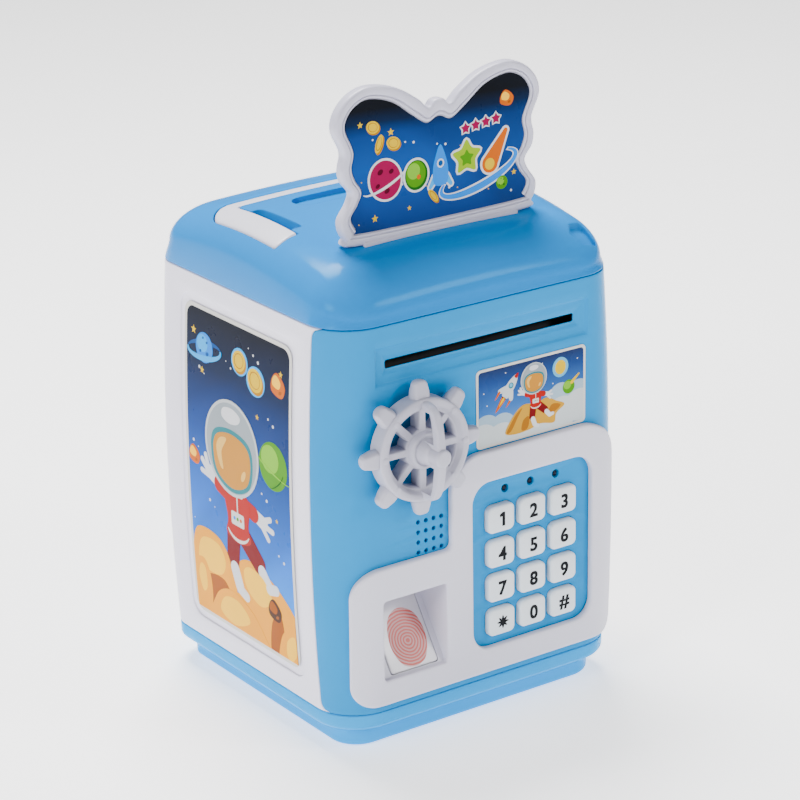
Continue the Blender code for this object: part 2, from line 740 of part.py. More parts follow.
# ---- carry handle -----------------------------------------------------------------
def build_handle():
    bm = bmesh.new()
    prism(bm, handle_outline(0.0), "Z", (HANDLE_FLOOR, 197.0))
    handle = part("carry_handle", bm, "handle_white")
    dome = bmesh.new()
    loft(dome, [lid_foot(0.0, SEAM_TOP)] + lid_rings(0.0))
    boolean(handle, tool("handle_envelope", dome), "INTERSECT")
    y, z = HANDLE_PIVOT
    r = HANDLE_END_R
    nose = [(y + r * sin(t) * -1.0, z + r * cos(t)) for t in [pi * k / 10.0 for k in range(11)]]
    nose = nose + [(y, z - 12.0), (y - 12.0, z - 12.0), (y - 12.0, z + 12.0), (y, z + 12.0)]
    cutter = bmesh.new()
    prism(cutter, nose, "X", (-70.0, 70.0))
    cut(handle, tool("handle_nose", cutter))
    stubs = bmesh.new()
    for sign in (-1.0, 1.0):
        ends = sorted((sign * 45.9, sign * (HANDLE_IN + 1.2)))
        cylinder(stubs, "X", HANDLE_PIVOT, ends, 1.2, 16)
    join(handle, tool("handle_stubs", stubs))
    move_origin(handle, (0.0, y, z))
    return handle


# ---- door skin --------------------------------------------------------------------
def build_door():
    bm = bmesh.new()
    loft(bm, [door_section(z) for z in z_stations(DOOR_BOTTOM, DOOR_TOP)])
    door = part("door_panel", bm, "door_blue")
    bosses = bmesh.new()
    for x, z in COVER_SCREW_AT:
        cylinder(bosses, "Y", (x, z), (FACE + 1.2, -47.7), 3.0, 16)
    join(door, tool("door_bosses", bosses))
    cuts = bmesh.new()
    mid = sum(FRAME_Z) / 2.0
    half = (FRAME_Z[1] - FRAME_Z[0]) / 2.0
    levels = ((FACE - 1.0, FRAME_HALF, half, mid), (FACE, FRAME_HALF, half, mid),
              (FACE + 0.9, FRAME_HALF - 0.9, half - 0.9, mid),
              (FACE + 0.9, SLOT_HALF + 2.0, 3.6, SLOT_Z + 0.2),
              (FACE + 1.9, SLOT_HALF, SLOT_H / 2.0, SLOT_Z),
              (FACE + 4.0, SLOT_HALF, SLOT_H / 2.0, SLOT_Z))
    loft(cuts, [[(x, y, z) for x, z in rect(-a, a, c - b, c + b, 0.5, 1)]
                for y, a, b, c in levels])
    for z in KEY_Z:
        for x in KEY_X:
            a = KEY_W / 2.0 + GAP
            b = KEY_H / 2.0 + GAP
            prism(cuts, rect(x - a, x + a, z - b, z + b, 2.5, 2), "Y", (FACE - 1.0, FACE + 4.0))
    for x in LED_X:
        cylinder(cuts, "Y", (x, LED_Z), (FACE - 1.0, FACE + 4.0), 1.6, 14)
    for z in SPEAKER_Z:
        for x in SPEAKER_X:
            cylinder(cuts, "Y", (x, z), (FACE - 1.0, FACE + 4.0), 0.85, 6)
    cylinder(cuts, "Y", WHEEL_AT, (FACE - 1.0, FACE + 4.0), 3.6, 32)
    box(cuts, TUB_X[0] - 1.6, TUB_X[1] + 1.6, FACE - 1.0, FACE + 4.0, TUB_Z[0] - 3.4,
        TUB_Z[1] + 1.6)
    for x, z in COVER_SCREW_AT:
        cylinder(cuts, "Y", (x, z), (-56.5, -46.0), 1.3, 12)
    for z0, z1 in ((DOOR_BOTTOM - 1.0, 26.5), (155.5, DOOR_TOP + 1.0)):
        cylinder(cuts, "Z", HINGE, (z0, z1), PIN_R + 0.1, 20)
    cut(door, tool("door_cuts", cuts))
    return door


def wrap_front(bm, s_limit=47.5):
    """Bend a flat plate (x along the face, y outwards) round the two front corners."""
    steps = [s_limit + 3.2 * k for k in range(4)]
    slice_up(bm, [(s, 0, 0) for s in steps] + [(-s, 0, 0) for s in steps], (1, 0, 0))
    slice_up(bm, [(0, 0, z) for z in BULGE_Z], (0, 0, 1))
    for v in bm.verts:
        lift = -v.co.y
        flat = half_width(v.co.z) - FRONT_R
        s = abs(v.co.x)
        if s <= flat:
            v.co.y = FACE - lift
            continue
        t = (s - flat) / FRONT_R
        sign = 1.0 if v.co.x > 0 else -1.0
        v.co.x = sign * (flat + (FRONT_R + lift) * sin(t))
        v.co.y = CORNER_Y - (FRONT_R + lift) * cos(t)


def build_fascia():
    outline = rounded([
        (-60.3, 19.6, 9.5), (60.3, 19.6, 7.0), (60.3, 108.9, 16.0), (-17.0, 108.9, 13.0),
        (-17.0, 74.4, 2.6), (-60.3, 74.4, 11.0)], 6)
    bm = bmesh.new()
    levels = ((0.32, 0.0), (1.7, 0.0), (2.4, 0.35), (FASCIA_T, 1.1))
    loft(bm, [[(x, -w, z) for x, z in inset(outline, d)] for w, d in levels])
    wrap_front(bm)
    fascia = part("fascia", bm, "fascia_white")
    x0, x1 = TUB_X
    z0, z1 = TUB_Z
    high = TUB_LOW_Y + TUB_SLOPE * (z1 - z0)
    tub = bmesh.new()
    side = [(FACE - 1.2, z0 - 1.3), (FACE - 1.2, z1 + 1.3), (high + 2.0, z1 + 1.3),
            (high + 2.0, z1 - 0.8), (TUB_LOW_Y + 2.0, z0 - 1.3)]
    prism(tub, side, "X", (x0 - 1.3, x1 + 1.3))
    join(fascia, tool("tub_outside", tub))
    hole = bmesh.new()
    side = [(FACE - 6.0, z0), (FACE - 6.0, z1), (high, z1), (TUB_LOW_Y, z0)]
    prism(hole, side, "X", (x0, x1))
    cut(fascia, tool("tub_inside", hole))
    window = bmesh.new()
    frame = rect(-7.4, 48.6, 29.7, 96.7, 8.0, 5)
    loft(window, [[(x, FACE - w, z) for x, z in inset(frame, d)] for w, d in
                  ((4.0, -1.0), (2.75, -0.9), (1.9, 0.0), (-2.0, 0.0))])
    cut(fascia, tool("fascia_window", window))
    pad = bmesh.new()
    tilted_box(pad, 10.9, 14.0, -4.0, 4.0)
    cut(fascia, tool("finger_pad_hole", pad))
    return fascia


def pad_middle():
    """Centre of the fingerprint pad on the recess's sloping floor."""
    slope = Vector((0.0, TUB_SLOPE, 1.0)).normalized()
    mid_z = sum(TUB_Z) / 2.0
    mid = Vector((sum(TUB_X) / 2.0, TUB_LOW_Y + TUB_SLOPE * (mid_z - TUB_Z[0]), mid_z))
    return mid + Vector((PAD_SHIFT[0], 0.0, 0.0)) + slope * PAD_SHIFT[1]


def tilted_box(bm, half_x, half_s, n0, n1):
    """Box on the sloping recess floor: half sizes across and up the slope, normal span."""
    slope = Vector((0.0, TUB_SLOPE, 1.0)).normalized()
    normal = Vector((0.0, -slope.z, slope.y))
    mid = pad_middle()
    outline = rect(-half_x, half_x, -half_s, half_s, 1.2, 2)
    rings = []
    for n in (n0, n1):
        rings.append([tuple(mid + Vector((a, 0, 0)) + slope * b + normal * n) for a, b in outline])
    return loft(bm, rings)


def build_finger_pad():
    bm = bmesh.new()
    tilted_box(bm, 10.6, 13.7, -2.7, 0.25)
    pad = part("fingerprint_button", bm, "finger_pad")
    flange = bmesh.new()
    tilted_box(flange, 12.0, 15.0, -3.8, -2.65)
    join(pad, tool("finger_flange", flange))
    move_origin(pad, pad_middle())


def build_front_label():
    bm = bmesh.new()
    prism(bm, rect(-3.9, 46.9, 109.4, 140.2, 1.8, 3), "Y", (FACE - 0.35, FACE - 0.05))
    part("front_label", bm, "label_print")


# ---- door works --------------------------------------------------------------------
def build_keys():
    names = iter(KEY_NAMES)
    for z in KEY_Z:
        for x in KEY_X:
            bm = bmesh.new()
            a = KEY_W / 2.0
            b = KEY_H / 2.0
            cap = rect(x - a, x + a, z - b, z + b, 2.3, 2)
            flange = rect(x - a - 0.8, x + a + 0.8, z - b - 0.8, z + b + 0.8, 2.0, 2)
            shoulder = FACE + WALL + GAP
            levels = ((FACE - KEY_PROUD, cap, 1.0), (FACE - KEY_PROUD + 0.7, cap, 0.0),
                      (shoulder, cap, 0.0), (shoulder, flange, 0.0), (FACE + KEY_DEEP, flange, 0.0))
            loft(bm, [[(p, y, q) for p, q in inset(ring, d)] for y, ring, d in levels])
            key = part("key_" + next(names), bm, "key_white")
            move_origin(key, (x, FACE, z))


def build_electronics():
    mat = bmesh.new()
    prism(mat, rect(-2.0, 43.4, 31.0, 88.0, 3.0, 2), "Y", (-56.7, -54.9))
    part("key_mat", mat, "mat_grey")
    board = bmesh.new()
    box(board, -8.6, 45.0, -54.6, -53.2, 30.0, 98.0)
    part("circuit_board", board, "board_green")
    for i, x in enumerate(LED_X):
        profile = [(-54.9, 1.3), (-60.2, 1.3), (-61.0, 0.95), (-61.35, 0.35)]
        turned_part("led_%d" % (i + 1), "Y", (x, LED_Z), profile, 12, "led_red")
    profile = [(-57.2, 9.4), (-58.8, 10.6), (-58.8, 13.0), (-57.4, 13.0), (-55.2, 7.6), (-51.6, 7.6)]
    turned_part("speaker", "Y", SPEAKER_AT, profile, 18, "dark_plastic")


def build_feeder():
    bm = bmesh.new()
    box(bm, -47.6, 47.6, -58.8, -43.0, 139.9, 161.9)
    housing = part("feeder_housing", bm, "dark_plastic")
    cuts = bmesh.new()
    box(cuts, -45.6, 45.6, -60.0, -40.0, 141.7, 160.1)
    cut(housing, tool("feeder_window", cuts))
    bores = bmesh.new()
    for dz in (-ROLLER_DZ, ROLLER_DZ):
        cylinder(bores, "X", (ROLLER_Y, SLOT_Z + dz), (-50.0, 50.0), 1.6, 20)
    cut(housing, tool("feeder_bores", bores))
    for name, dz, x0 in (("drive_roller", -ROLLER_DZ, -54.0), ("pressure_roller", ROLLER_DZ, -47.2)):
        profile = [(x0, 1.5), (-45.0, 1.5), (-45.0, ROLLER_R), (45.0, ROLLER_R), (45.0, 1.5),
                   (47.2, 1.5)]
        turned_part(name, "X", (ROLLER_Y, SLOT_Z + dz), profile, 20, "rubber_black")
    at = (ROLLER_Y, SLOT_Z - ROLLER_DZ)
    profile = [(-54.3, 1.6), (-47.9, 1.6), (-47.9, 3.0), (-48.6, 4.5), (-59.4, 4.5), (-60.0, 3.6)]
    turned_part("feeder_motor", "X", at, profile, 20, "steel")


def build_back_cover():
    x0, x1 = -52.5, 47.5
    bm = bmesh.new()
    box(bm, x0, x1, -58.2, -45.6, 20.0, 138.0)
    cover = part("door_back_cover", bm, "cover_white")
    deep = bmesh.new()
    box(deep, x0, x1, -50.0, -35.3, 20.0, 69.5)
    join(cover, tool("cover_deep", deep))
    front = bmesh.new()
    box(front, x0 + 1.6, x1 - 1.6, -60.0, -52.9, 21.6, 136.4)
    cut(cover, tool("cover_front_room", front))
    upper = bmesh.new()
    box(upper, x0 + 1.6, x1 - 1.6, -53.5, -47.2, 71.1, 136.4)
    cut(cover, tool("cover_upper_room", upper))
    left = bmesh.new()
    box(left, x0 + 1.6, -13.0, -54.0, -36.9, 21.6, 67.9)
    cut(cover, tool("cover_tub_room", left))
    top = bmesh.new()
    box(top, x0 + 1.6, -13.0, -54.0, -47.2, 60.0, 75.0)
    cut(cover, tool("cover_passage", top))
    pocket = bmesh.new()
    box(pocket, -11.4, 45.9, -51.9, -30.0, 21.6, 67.9)
    cut(cover, tool("cover_battery_room", pocket))
    holes = bmesh.new()
    cylinder(holes, "Y", WHEEL_AT, (-50.0, -40.0), 4.0, 24)
    lock = (WHEEL_AT[0] + LOCK_OFF, WHEEL_AT[1] + LOCK_OFF)
    cylinder(holes, "Y", lock, (-50.0, -40.0), 1.4, 14)
    for x, z in COVER_SCREW_AT:
        cylinder(holes, "Y", (x, z), (-50.0, -40.0), 1.5, 12)
    cut(cover, tool("cover_holes", holes))
    for i, (x, z) in enumerate(COVER_SCREW_AT):
        profile = [(-56.0, 1.2), (-45.3, 1.2), (-45.3, 2.8), (-44.4, 2.8), (-43.9, 2.2)]
        turned_part("cover_screw_%d" % (i + 1), "Y", (x, z), profile, 8, "steel")


def build_batteries():
    for i, z in enumerate(BATTERY_Z):
        profile = [(-8.0, 6.6), (-7.5, 7.2), (40.5, 7.2), (41.0, 6.6), (41.0, 2.7), (42.5, 2.7)]
        turned_part("battery_%d" % (i + 1), "X", (BATTERY_Y, z), profile, 14, "cell_green")
    lid = bmesh.new()
    box(lid, -10.8, 45.3, -36.8, -34.9, 22.2, 67.3)
    plate = part("battery_cover", lid, "cover_white")
    rim = bmesh.new()
    prism(rim, rect(-12.9, 47.4, 20.1, 69.4, 2.0, 3), "Y", (-34.99, -33.2))
    join(plate, tool("battery_cover_rim", rim))


# ---- wheel latch ---------------------------------------------------------------------
def spoke_end():
    """One of the wheel's round pegs, standing along +Z, with a flattened front."""
    bm = bmesh.new()
    profile = [(17.2, 3.4), (19.0, 3.75), (21.8, 3.6), (23.8, 3.0), (25.2, 2.0), (25.8, 0.9)]
    loft(bm, [[(x, SPOKE_Y + max(y, -0.72 * r), d) for x, y in circle(0.0, 0.0, r, 10, 0.3)]
              for d, r in profile])
    return bm


def grip_arch(cx, cz):
    """Arched bar across the wheel's front that clears the spokes between its feet."""
    bm = bmesh.new()
    arch = [(18.6, -68.2)]
    for k in range(9):
        t = pi * (k + 0.5) / 9.0
        arch.append((18.6 * cos(t), -69.0 - 12.2 * sqrt(sin(t))))
    arch.append((-18.6, -68.2))
    rings = []
    for x, k in ((-2.1, 0.96), (-1.4, 1.0), (1.4, 1.0), (2.1, 0.96)):
        rings.append([(cx + x, -68.2 + (y + 68.2) * k, cz + z * k) for z, y in arch])
    return loft(bm, rings)


def build_wheel():
    cx, cz = WHEEL_AT
    profile = [
        (-62.2, 5.6), (-63.4, 5.6), (-63.4, RIM_R - 0.8), (-64.1, RIM_R), (RIM_FRONT + 0.9, RIM_R),
        (RIM_FRONT, RIM_R - 0.9), (RIM_FRONT, 16.8), (-69.1, 15.3), (-69.1, 9.0), (-71.6, 8.3),
        (-72.0, 6.6), (-71.8, 5.9), (-75.4, 5.0), (-76.6, 3.9), (-81.6, 3.9), (-82.3, 3.1),
    ]
    wheel = turned_part("wheel_knob", "Y", WHEEL_AT, profile, 28, "wheel_white")
    pegs = bmesh.new()
    for k in range(8):
        one = spoke_end()
        turn = Matrix.Rotation(k * pi / 4, 3, "Y")
        bmesh.ops.rotate(one, verts=one.verts, cent=(0, 0, 0), matrix=turn)
        bmesh.ops.translate(one, verts=one.verts, vec=(cx, 0.0, cz))
        merge(pegs, one)
    join(wheel, tool("wheel_pegs", pegs))
    windows = bmesh.new()
    for k in range(8):
        mid = (k + 0.5) * pi / 4
        ring_pts = []
        for r, half, sign in ((14.7, 0.30, 1.0), (9.4, 0.21, -1.0)):
            for j in range(5):
                a = mid + sign * half * (j / 2.0 - 1.0)
                ring_pts.append((cx + r * cos(a), cz + r * sin(a)))
        prism(windows, ring_pts, "Y", (-75.0, -60.0))
    cut(wheel, tool("wheel_windows", windows))
    grip = tool("wheel_grip", grip_arch(cx, cz))
    gaps = bmesh.new()
    for sign in (-1.0, 1.0):
        outline = [(-60.0, cz + sign * 15.6), (-60.0, cz + sign * 5.8)]
        for z in (5.8, 8.5, 11.0, 13.5, 15.6):
            rise = (12.2 - GRIP_BAR) * (1.0 - (z / 18.6) ** 2) ** 0.25
            outline.append((-69.0 - rise, cz + sign * z))
        prism(gaps, outline, "X", (cx - 6.0, cx + 6.0))
    cut(grip, tool("wheel_grip_gaps", gaps))
    join(wheel, grip)
    shaft = bmesh.new()
    cylinder(shaft, "Y", WHEEL_AT, (-66.0, -45.6), 3.5, 28)
    join(wheel, tool("wheel_shaft", shaft))
    tip = bmesh.new()
    box(tip, cx - 2.0, cx + 2.0, -47.0, -42.3, cz - 2.0, cz + 2.0)
    join(wheel, tool("wheel_tip", tip))
    move_origin(wheel, (cx, FACE, cz))


def build_latch():
    cx, cz = WHEEL_AT
    bm = bmesh.new()
    cylinder(bm, "Y", WHEEL_AT, (-45.2, -42.7), 13.0, 28)
    latch = part("latch_arm", bm, "steel")
    arm = bmesh.new()
    outline = rect(cx - 4.5, cx + 4.5, cz - 28.4, cz + 6.0, 2.0, 3)
    prism(arm, outline, "Y", (-44.2, -41.6))
    join(latch, tool("latch_bar", arm))
    holes = bmesh.new()
    box(holes, cx - 2.25, cx + 2.25, -50.0, -40.0, cz - 2.25, cz + 2.25)
    for sign in (-1.0, 1.0):
        at = (cx + sign * LOCK_OFF, cz + LOCK_OFF)
        cylinder(holes, "Y", at, (-50.0, -40.0), 1.7, 14)
    cut(latch, tool("latch_holes", holes))
    move_origin(latch, (cx, FACE, cz))
    at = (cx + LOCK_OFF, cz + LOCK_OFF)
    profile = [(-54.6, 1.3), (-49.0, 1.3), (-49.0, 4.6), (-58.6, 4.6), (-58.9, 4.2)]
    turned_part("lock_solenoid", "Y", at, profile, 20, "steel")
    pin = turned_part("lock_plunger", "Y", at, [(-54.2, 1.1), (-46.1, 1.1), (-45.8, 0.8)], 14, "steel")
    move_origin(pin, (at[0], -45.8, at[1]))


def main():
    build_base()
    build_feet()
    build_base_screws()
    build_shell()
    build_side_labels()
    build_lid()
    build_sign()
    build_hinge_pins()
    build_handle()
    build_door()
    build_fascia()
    build_finger_pad()
    build_front_label()
    build_keys()
    build_electronics()
    build_feeder()
    build_back_cover()
    build_batteries()
    build_wheel()
    build_latch()


main()
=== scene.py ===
"""Looks of the toy ATM savings bank: fine moulded shells, printed art, plastics, light, camera."""
import json
from math import acos, asin, atan2, cos, pi, radians, sin, sqrt
import bpy
import bmesh
from mathutils import Matrix, Vector


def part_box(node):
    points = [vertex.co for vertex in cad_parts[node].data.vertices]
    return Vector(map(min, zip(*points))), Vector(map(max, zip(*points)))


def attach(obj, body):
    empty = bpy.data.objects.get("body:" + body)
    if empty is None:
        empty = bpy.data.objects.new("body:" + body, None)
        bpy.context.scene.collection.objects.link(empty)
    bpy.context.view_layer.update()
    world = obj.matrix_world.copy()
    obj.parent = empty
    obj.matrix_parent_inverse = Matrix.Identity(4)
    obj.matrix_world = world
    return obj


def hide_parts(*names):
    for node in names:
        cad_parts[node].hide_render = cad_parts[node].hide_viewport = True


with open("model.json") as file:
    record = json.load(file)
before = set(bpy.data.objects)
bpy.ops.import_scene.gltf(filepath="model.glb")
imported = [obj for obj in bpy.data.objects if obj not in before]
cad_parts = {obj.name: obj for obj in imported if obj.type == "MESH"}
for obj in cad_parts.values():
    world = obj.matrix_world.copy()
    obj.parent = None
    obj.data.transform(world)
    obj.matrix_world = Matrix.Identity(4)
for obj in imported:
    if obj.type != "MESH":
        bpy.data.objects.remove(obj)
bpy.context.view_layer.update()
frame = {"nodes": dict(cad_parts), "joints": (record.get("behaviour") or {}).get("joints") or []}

MM = 0.001


# ---- sizes, in millimetres, read from the frame -------------------------------------
def node_box(node):
    """Corners of a CAD node in millimetres, with y measured from the body's middle."""
    low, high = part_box(node)
    return low / MM - SHIFT, high / MM - SHIFT


def node_centres(names, a, b):
    """Centres of CAD nodes, seen along the third axis."""
    return [tuple(sum(getattr(corner, axis) for corner in node_box(name)) / 2.0 for axis in (a, b))
            for name in names]


SHIFT = Vector((0.0, 0.0, 0.0))      # node_box needs a value before the body's middle is known
SHIFT = Vector((0.0, sum(corner.y for corner in node_box("base")) / 2.0, 0.0))

BASE_BOX = node_box("base")
SHELL_BOX = node_box("body_shell")
DOOR_BOX = node_box("door_panel")
LABEL_BOX = node_box("front_label")
SIDE_BOX = node_box("label_left")
JOINT_AT = {j["name"]: Vector(j["pos_m"]) / MM - SHIFT for j in frame["joints"] if "pos_m" in j}

HALF_W = SHELL_BOX[1].x
HALF_D = BASE_BOX[1].y
FACE = -HALF_D
BELLY_Z = 88.6
BELLY_DROP = 3.2
FRONT_R = 18.0
REAR_R = 12.3
WALL = 2.4
FLOOR_Z = BASE_BOX[0].z
BASE_TOP = 16.0
SEAM_TOP = 166.3
STEP_Z = 9.6
PLINTH_INSET = 6.0
SEAM_Y = -46.9
SHELL_RIGHT_Y = -42.7
CORNER_Y = FACE + FRONT_R
GAP = 0.3
HINGE = (JOINT_AT["door_swing"].x, JOINT_AT["door_swing"].y)

LID_TOP = 192.0
LID_CROWN_Y = 8.0
LID_DROP_Y = 8.0
LID_DROP_X = 2.2
LID_EDGE_PLAN = 17.0
LID_EDGE_RISE = 12.5
LID_DRAFT = 1.0
LID_CEILING = 7.0
PIVOT = (JOINT_AT["handle_fold"].y, JOINT_AT["handle_fold"].z)
HANDLE_OUT = 58.2
HANDLE_IN = 48.2
HANDLE_REAR = 33.0
HANDLE_BAR = 6.0
HANDLE_FLOOR = 184.4
HANDLE_END_R = 2.9
FINGER_GAP = 5.2
TROUGH = (-31.0, 31.0, 8.0, 19.5)
COIN_SLOT = (-28.0, 28.0, 8.5, 12.9)

DOOR_BOTTOM = DOOR_BOX[0].z
DOOR_TOP = DOOR_BOX[1].z
SLOT_Z = 150.85
SLOT_HALF = 42.6
SLOT_H = 3.2
FRAME_HALF = 48.0
FRAME_Z = (143.7, 158.1)
KEY_NAMES = ("1", "2", "3", "4", "5", "6", "7", "8", "9", "star", "0", "hash")
SPEAKER_X = (-30.4, -26.93, -23.46, -20.0)
SPEAKER_Z = (87.7, 83.7, 79.7, 75.7)
WHEEL_AT = (JOINT_AT["wheel_turn"].x, JOINT_AT["wheel_turn"].z)
FASCIA_T = 2.7
TUB_X = (-48.0, -19.5)
TUB_Z = (29.5, 61.3)
TUB_LOW_Y = -62.0
TUB_SLOPE = 0.686
PAD_UP = Vector((0.0, TUB_SLOPE, 1.0)).normalized()
PAD_MID = Vector((sum(TUB_X) / 2.0 + 0.8, TUB_LOW_Y + TUB_SLOPE * (TUB_Z[1] - TUB_Z[0]) / 2.0,
                  sum(TUB_Z) / 2.0))
PAD_MID = PAD_MID - PAD_UP * 4.9
PAD_OUT = Vector((0.0, -PAD_UP.z, PAD_UP.y))

SIGN_Y = (-36.5, -31.5)
SIGN_HALF = (
    (35.0, 187.6), (41.8, 191.0), (43.8, 197.6), (40.0, 203.5), (38.8, 207.5), (42.0, 211.8),
    (42.9, 216.5), (41.9, 222.8), (45.4, 231.0), (44.0, 237.5), (38.5, 243.0), (30.5, 245.4),
    (19.0, 243.3), (9.6, 237.9), (4.8, 233.9), (1.9, 236.0),
)
SIGN_PANEL_HALF = (
    (33.0, 191.9), (37.4, 194.2), (39.4, 198.6), (36.2, 203.4), (34.6, 207.6), (37.4, 212.4),
    (38.6, 216.8), (37.7, 222.8), (41.0, 231.0), (39.9, 235.8), (36.2, 239.4), (30.3, 241.0),
    (20.6, 238.4), (12.0, 232.3), (5.6, 228.3), (1.2, 229.8),
)


# ---- mesh helpers, in millimetres ----------------------------------------------------
def loft(bm, rings):
    """Skin a stack of equal-length rings and close both ends."""
    rows = [[bm.verts.new(p) for p in ring] for ring in rings]
    count = len(rows[0])
    for low, high in zip(rows, rows[1:]):
        for i in range(count):
            j = (i + 1) % count
            bm.faces.new((low[i], low[j], high[j], high[i]))
    bm.faces.new(list(reversed(rows[0])))
    bm.faces.new(rows[-1])
    return bm


def place(point, axis, along):
    """Point of a flat outline put at a position along the axis that it faces."""
    a, b = point
    if axis == "X":
        return (along, a, b)
    if axis == "Y":
        return (a, along, b)
    return (a, b, along)


def circle(a, b, r, count, phase=0.0):
    step = 2.0 * pi / count
    return [(a + r * cos(phase + i * step), b + r * sin(phase + i * step)) for i in range(count)]


def stack(bm, axis, layers):
    """Loft of flat outlines: layers are (position along the axis, outline) pairs."""
    return loft(bm, [[place(p, axis, along) for p in outline] for along, outline in layers])


def prism(bm, axis, outline, low, high):
    """One flat outline carried straight from low to high along the axis."""
    return stack(bm, axis, [(low, outline), (high, outline)])


def turned(bm, axis, centre, profile, count=48):
    """A turned solid: profile is a list of (position along the axis, radius)."""
    return stack(bm, axis, [(t, circle(*centre, r, count)) for t, r in profile])


def rounded(corners, count):
    """Outline from (a, b, radius) corners, each replaced by an arc of count steps."""
    out = []
    total = len(corners)
    for i in range(total):
        ax, ay, _ = corners[i - 1]
        bx, by, r = corners[i]
        cx, cy, _ = corners[(i + 1) % total]
        u = Vector((ax - bx, ay - by)).normalized()
        v = Vector((cx - bx, cy - by)).normalized()
        half = acos(max(-1.0, min(1.0, u.dot(v)))) / 2.0
        centre = Vector((bx, by)) + (u + v).normalized() * (r / sin(half))
        reach = r * cos(half) / sin(half)
        start = Vector((bx, by)) + u * reach - centre
        end = Vector((bx, by)) + v * reach - centre
        a0 = atan2(start.y, start.x)
        turn = (atan2(end.y, end.x) - a0 + pi) % (2.0 * pi) - pi
        for k in range(count + 1):
            a = a0 + turn * k / count
            out.append((centre.x + r * cos(a), centre.y + r * sin(a)))
    return out


def rect(a0, a1, b0, b1, r, count=8):
    return rounded([(a0, b0, r), (a1, b0, r), (a1, b1, r), (a0, b1, r)], count)


def inset(outline, d):
    """Move each point of a counter-clockwise outline inwards by d."""
    out = []
    total = len(outline)
    for i in range(total):
        p = Vector(outline[i - 1])
        q = Vector(outline[i])
        s = Vector(outline[(i + 1) % total])
        t = ((q - p).normalized() + (s - q).normalized()).normalized()
        out.append((q.x - t.y * d, q.y + t.x * d))
    return out


def smooth(ctrl, steps):
    """Closed Catmull-Rom curve through the control points."""
    out = []
    n = len(ctrl)
    for i in range(n):
        p = [Vector(ctrl[(i + k - 1) % n]) for k in range(4)]
        for s in range(steps):
            t = s / steps
            a = 2.0 * p[1]
            b = (p[2] - p[0]) * t
            c = (2.0 * p[0] - 5.0 * p[1] + 4.0 * p[2] - p[3]) * t * t
            d = (3.0 * p[1] - p[0] - 3.0 * p[2] + p[3]) * t ** 3
            q = 0.5 * (a + b + c + d)
            out.append((q.x, q.y))
    return out


def slice_grid(bm, axis, low, high, step):
    """Cut the mesh with evenly spaced planes across an axis."""
    normal = Vector([1.0 if name == axis else 0.0 for name in "XYZ"])
    count = max(1, int((high - low) / step))
    for k in range(count + 1):
        at = normal * (low + (high - low) * k / count)
        geom = list(bm.verts) + list(bm.edges) + list(bm.faces)
        bmesh.ops.bisect_plane(bm, geom=geom, dist=1e-5, plane_co=at, plane_no=normal)


def merge(bm, other):
    """Copy every face of other into bm."""
    table = {v: bm.verts.new(v.co) for v in other.verts}
    for face in other.faces:
        new = bm.faces.new([table[v] for v in face.verts])
        new.material_index = face.material_index
    other.free()


def box(bm, x0, x1, y0, y1, z0, z1, r=0.0, count=3):
    """Box with its vertical edges rounded by r."""
    outline = rect(x0, x1, y0, y1, r, count) if r else [(x0, y0), (x1, y0), (x1, y1), (x0, y1)]
    return prism(bm, "Z", outline, z0, z1)


def plain_object(name, bm):
    """Object in metres and in the row frame, from a mesh in body millimetres."""
    bmesh.ops.remove_doubles(bm, verts=bm.verts, dist=0.002)
    bmesh.ops.recalc_face_normals(bm, faces=bm.faces)
    bmesh.ops.translate(bm, vec=SHIFT, verts=bm.verts)
    bmesh.ops.scale(bm, vec=(MM, MM, MM), verts=bm.verts)
    mesh = bpy.data.meshes.new(name)
    bm.to_mesh(mesh)
    bm.free()
    obj = bpy.data.objects.new(name, mesh)
    bpy.context.scene.collection.objects.link(obj)
    return obj


def settle(obj):
    """Apply the object's modifiers to its mesh."""
    graph = bpy.context.evaluated_depsgraph_get()
    mesh = bpy.data.meshes.new_from_object(obj.evaluated_get(graph))
    obj.modifiers.clear()
    old = obj.data
    obj.data = mesh
    bpy.data.meshes.remove(old)
    mesh.name = obj.name


def weld(obj, reach=0.02):
    """Merge the hair-thin slivers a boolean can leave."""
    bm = bmesh.new()
    bm.from_mesh(obj.data)
    bmesh.ops.remove_doubles(bm, verts=bm.verts, dist=reach * MM)
    bmesh.ops.dissolve_degenerate(bm, dist=reach * MM, edges=bm.edges)
    bm.to_mesh(obj.data)
    bm.free()


def soften(obj, width, segments=3, angle=38.0):
    """Round the sharp edges of a clean mesh."""
    mod = obj.modifiers.new("soften", "BEVEL")
    mod.width = width * MM
    mod.segments = segments
    mod.limit_method = "ANGLE"
    mod.angle_limit = radians(angle)
    settle(obj)


def combine(obj, other, operation):
    """Boolean with another object, which is used up, applied at once."""
    mod = obj.modifiers.new("combine", "BOOLEAN")
    mod.operation = operation
    mod.solver = "EXACT"
    mod.object = other
    settle(obj)
    bpy.data.objects.remove(other, do_unlink=True)


def cut(obj, bm):
    """Take a mesh in body millimetres away from the object."""
    combine(obj, plain_object("tool", bm), "DIFFERENCE")


def join(obj, bm):
    """Add a mesh in body millimetres to the object."""
    combine(obj, plain_object("tool", bm), "UNION")


def finished(obj, mat, body, replaced=(), angle=32.0):
    """Material, shading, body and slot of a finished piece."""
    mesh = obj.data
    inks = [face.material_index for face in mesh.polygons]
    mesh.materials.clear()
    for one in (mat if isinstance(mat, (list, tuple)) else [mat]):
        mesh.materials.append(one)
    mesh.polygons.foreach_set("material_index", inks)
    mesh.shade_smooth()
    mesh.set_sharp_from_angle(angle=radians(angle))
    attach(obj, body)
    if replaced:
        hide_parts(*replaced)
    return obj


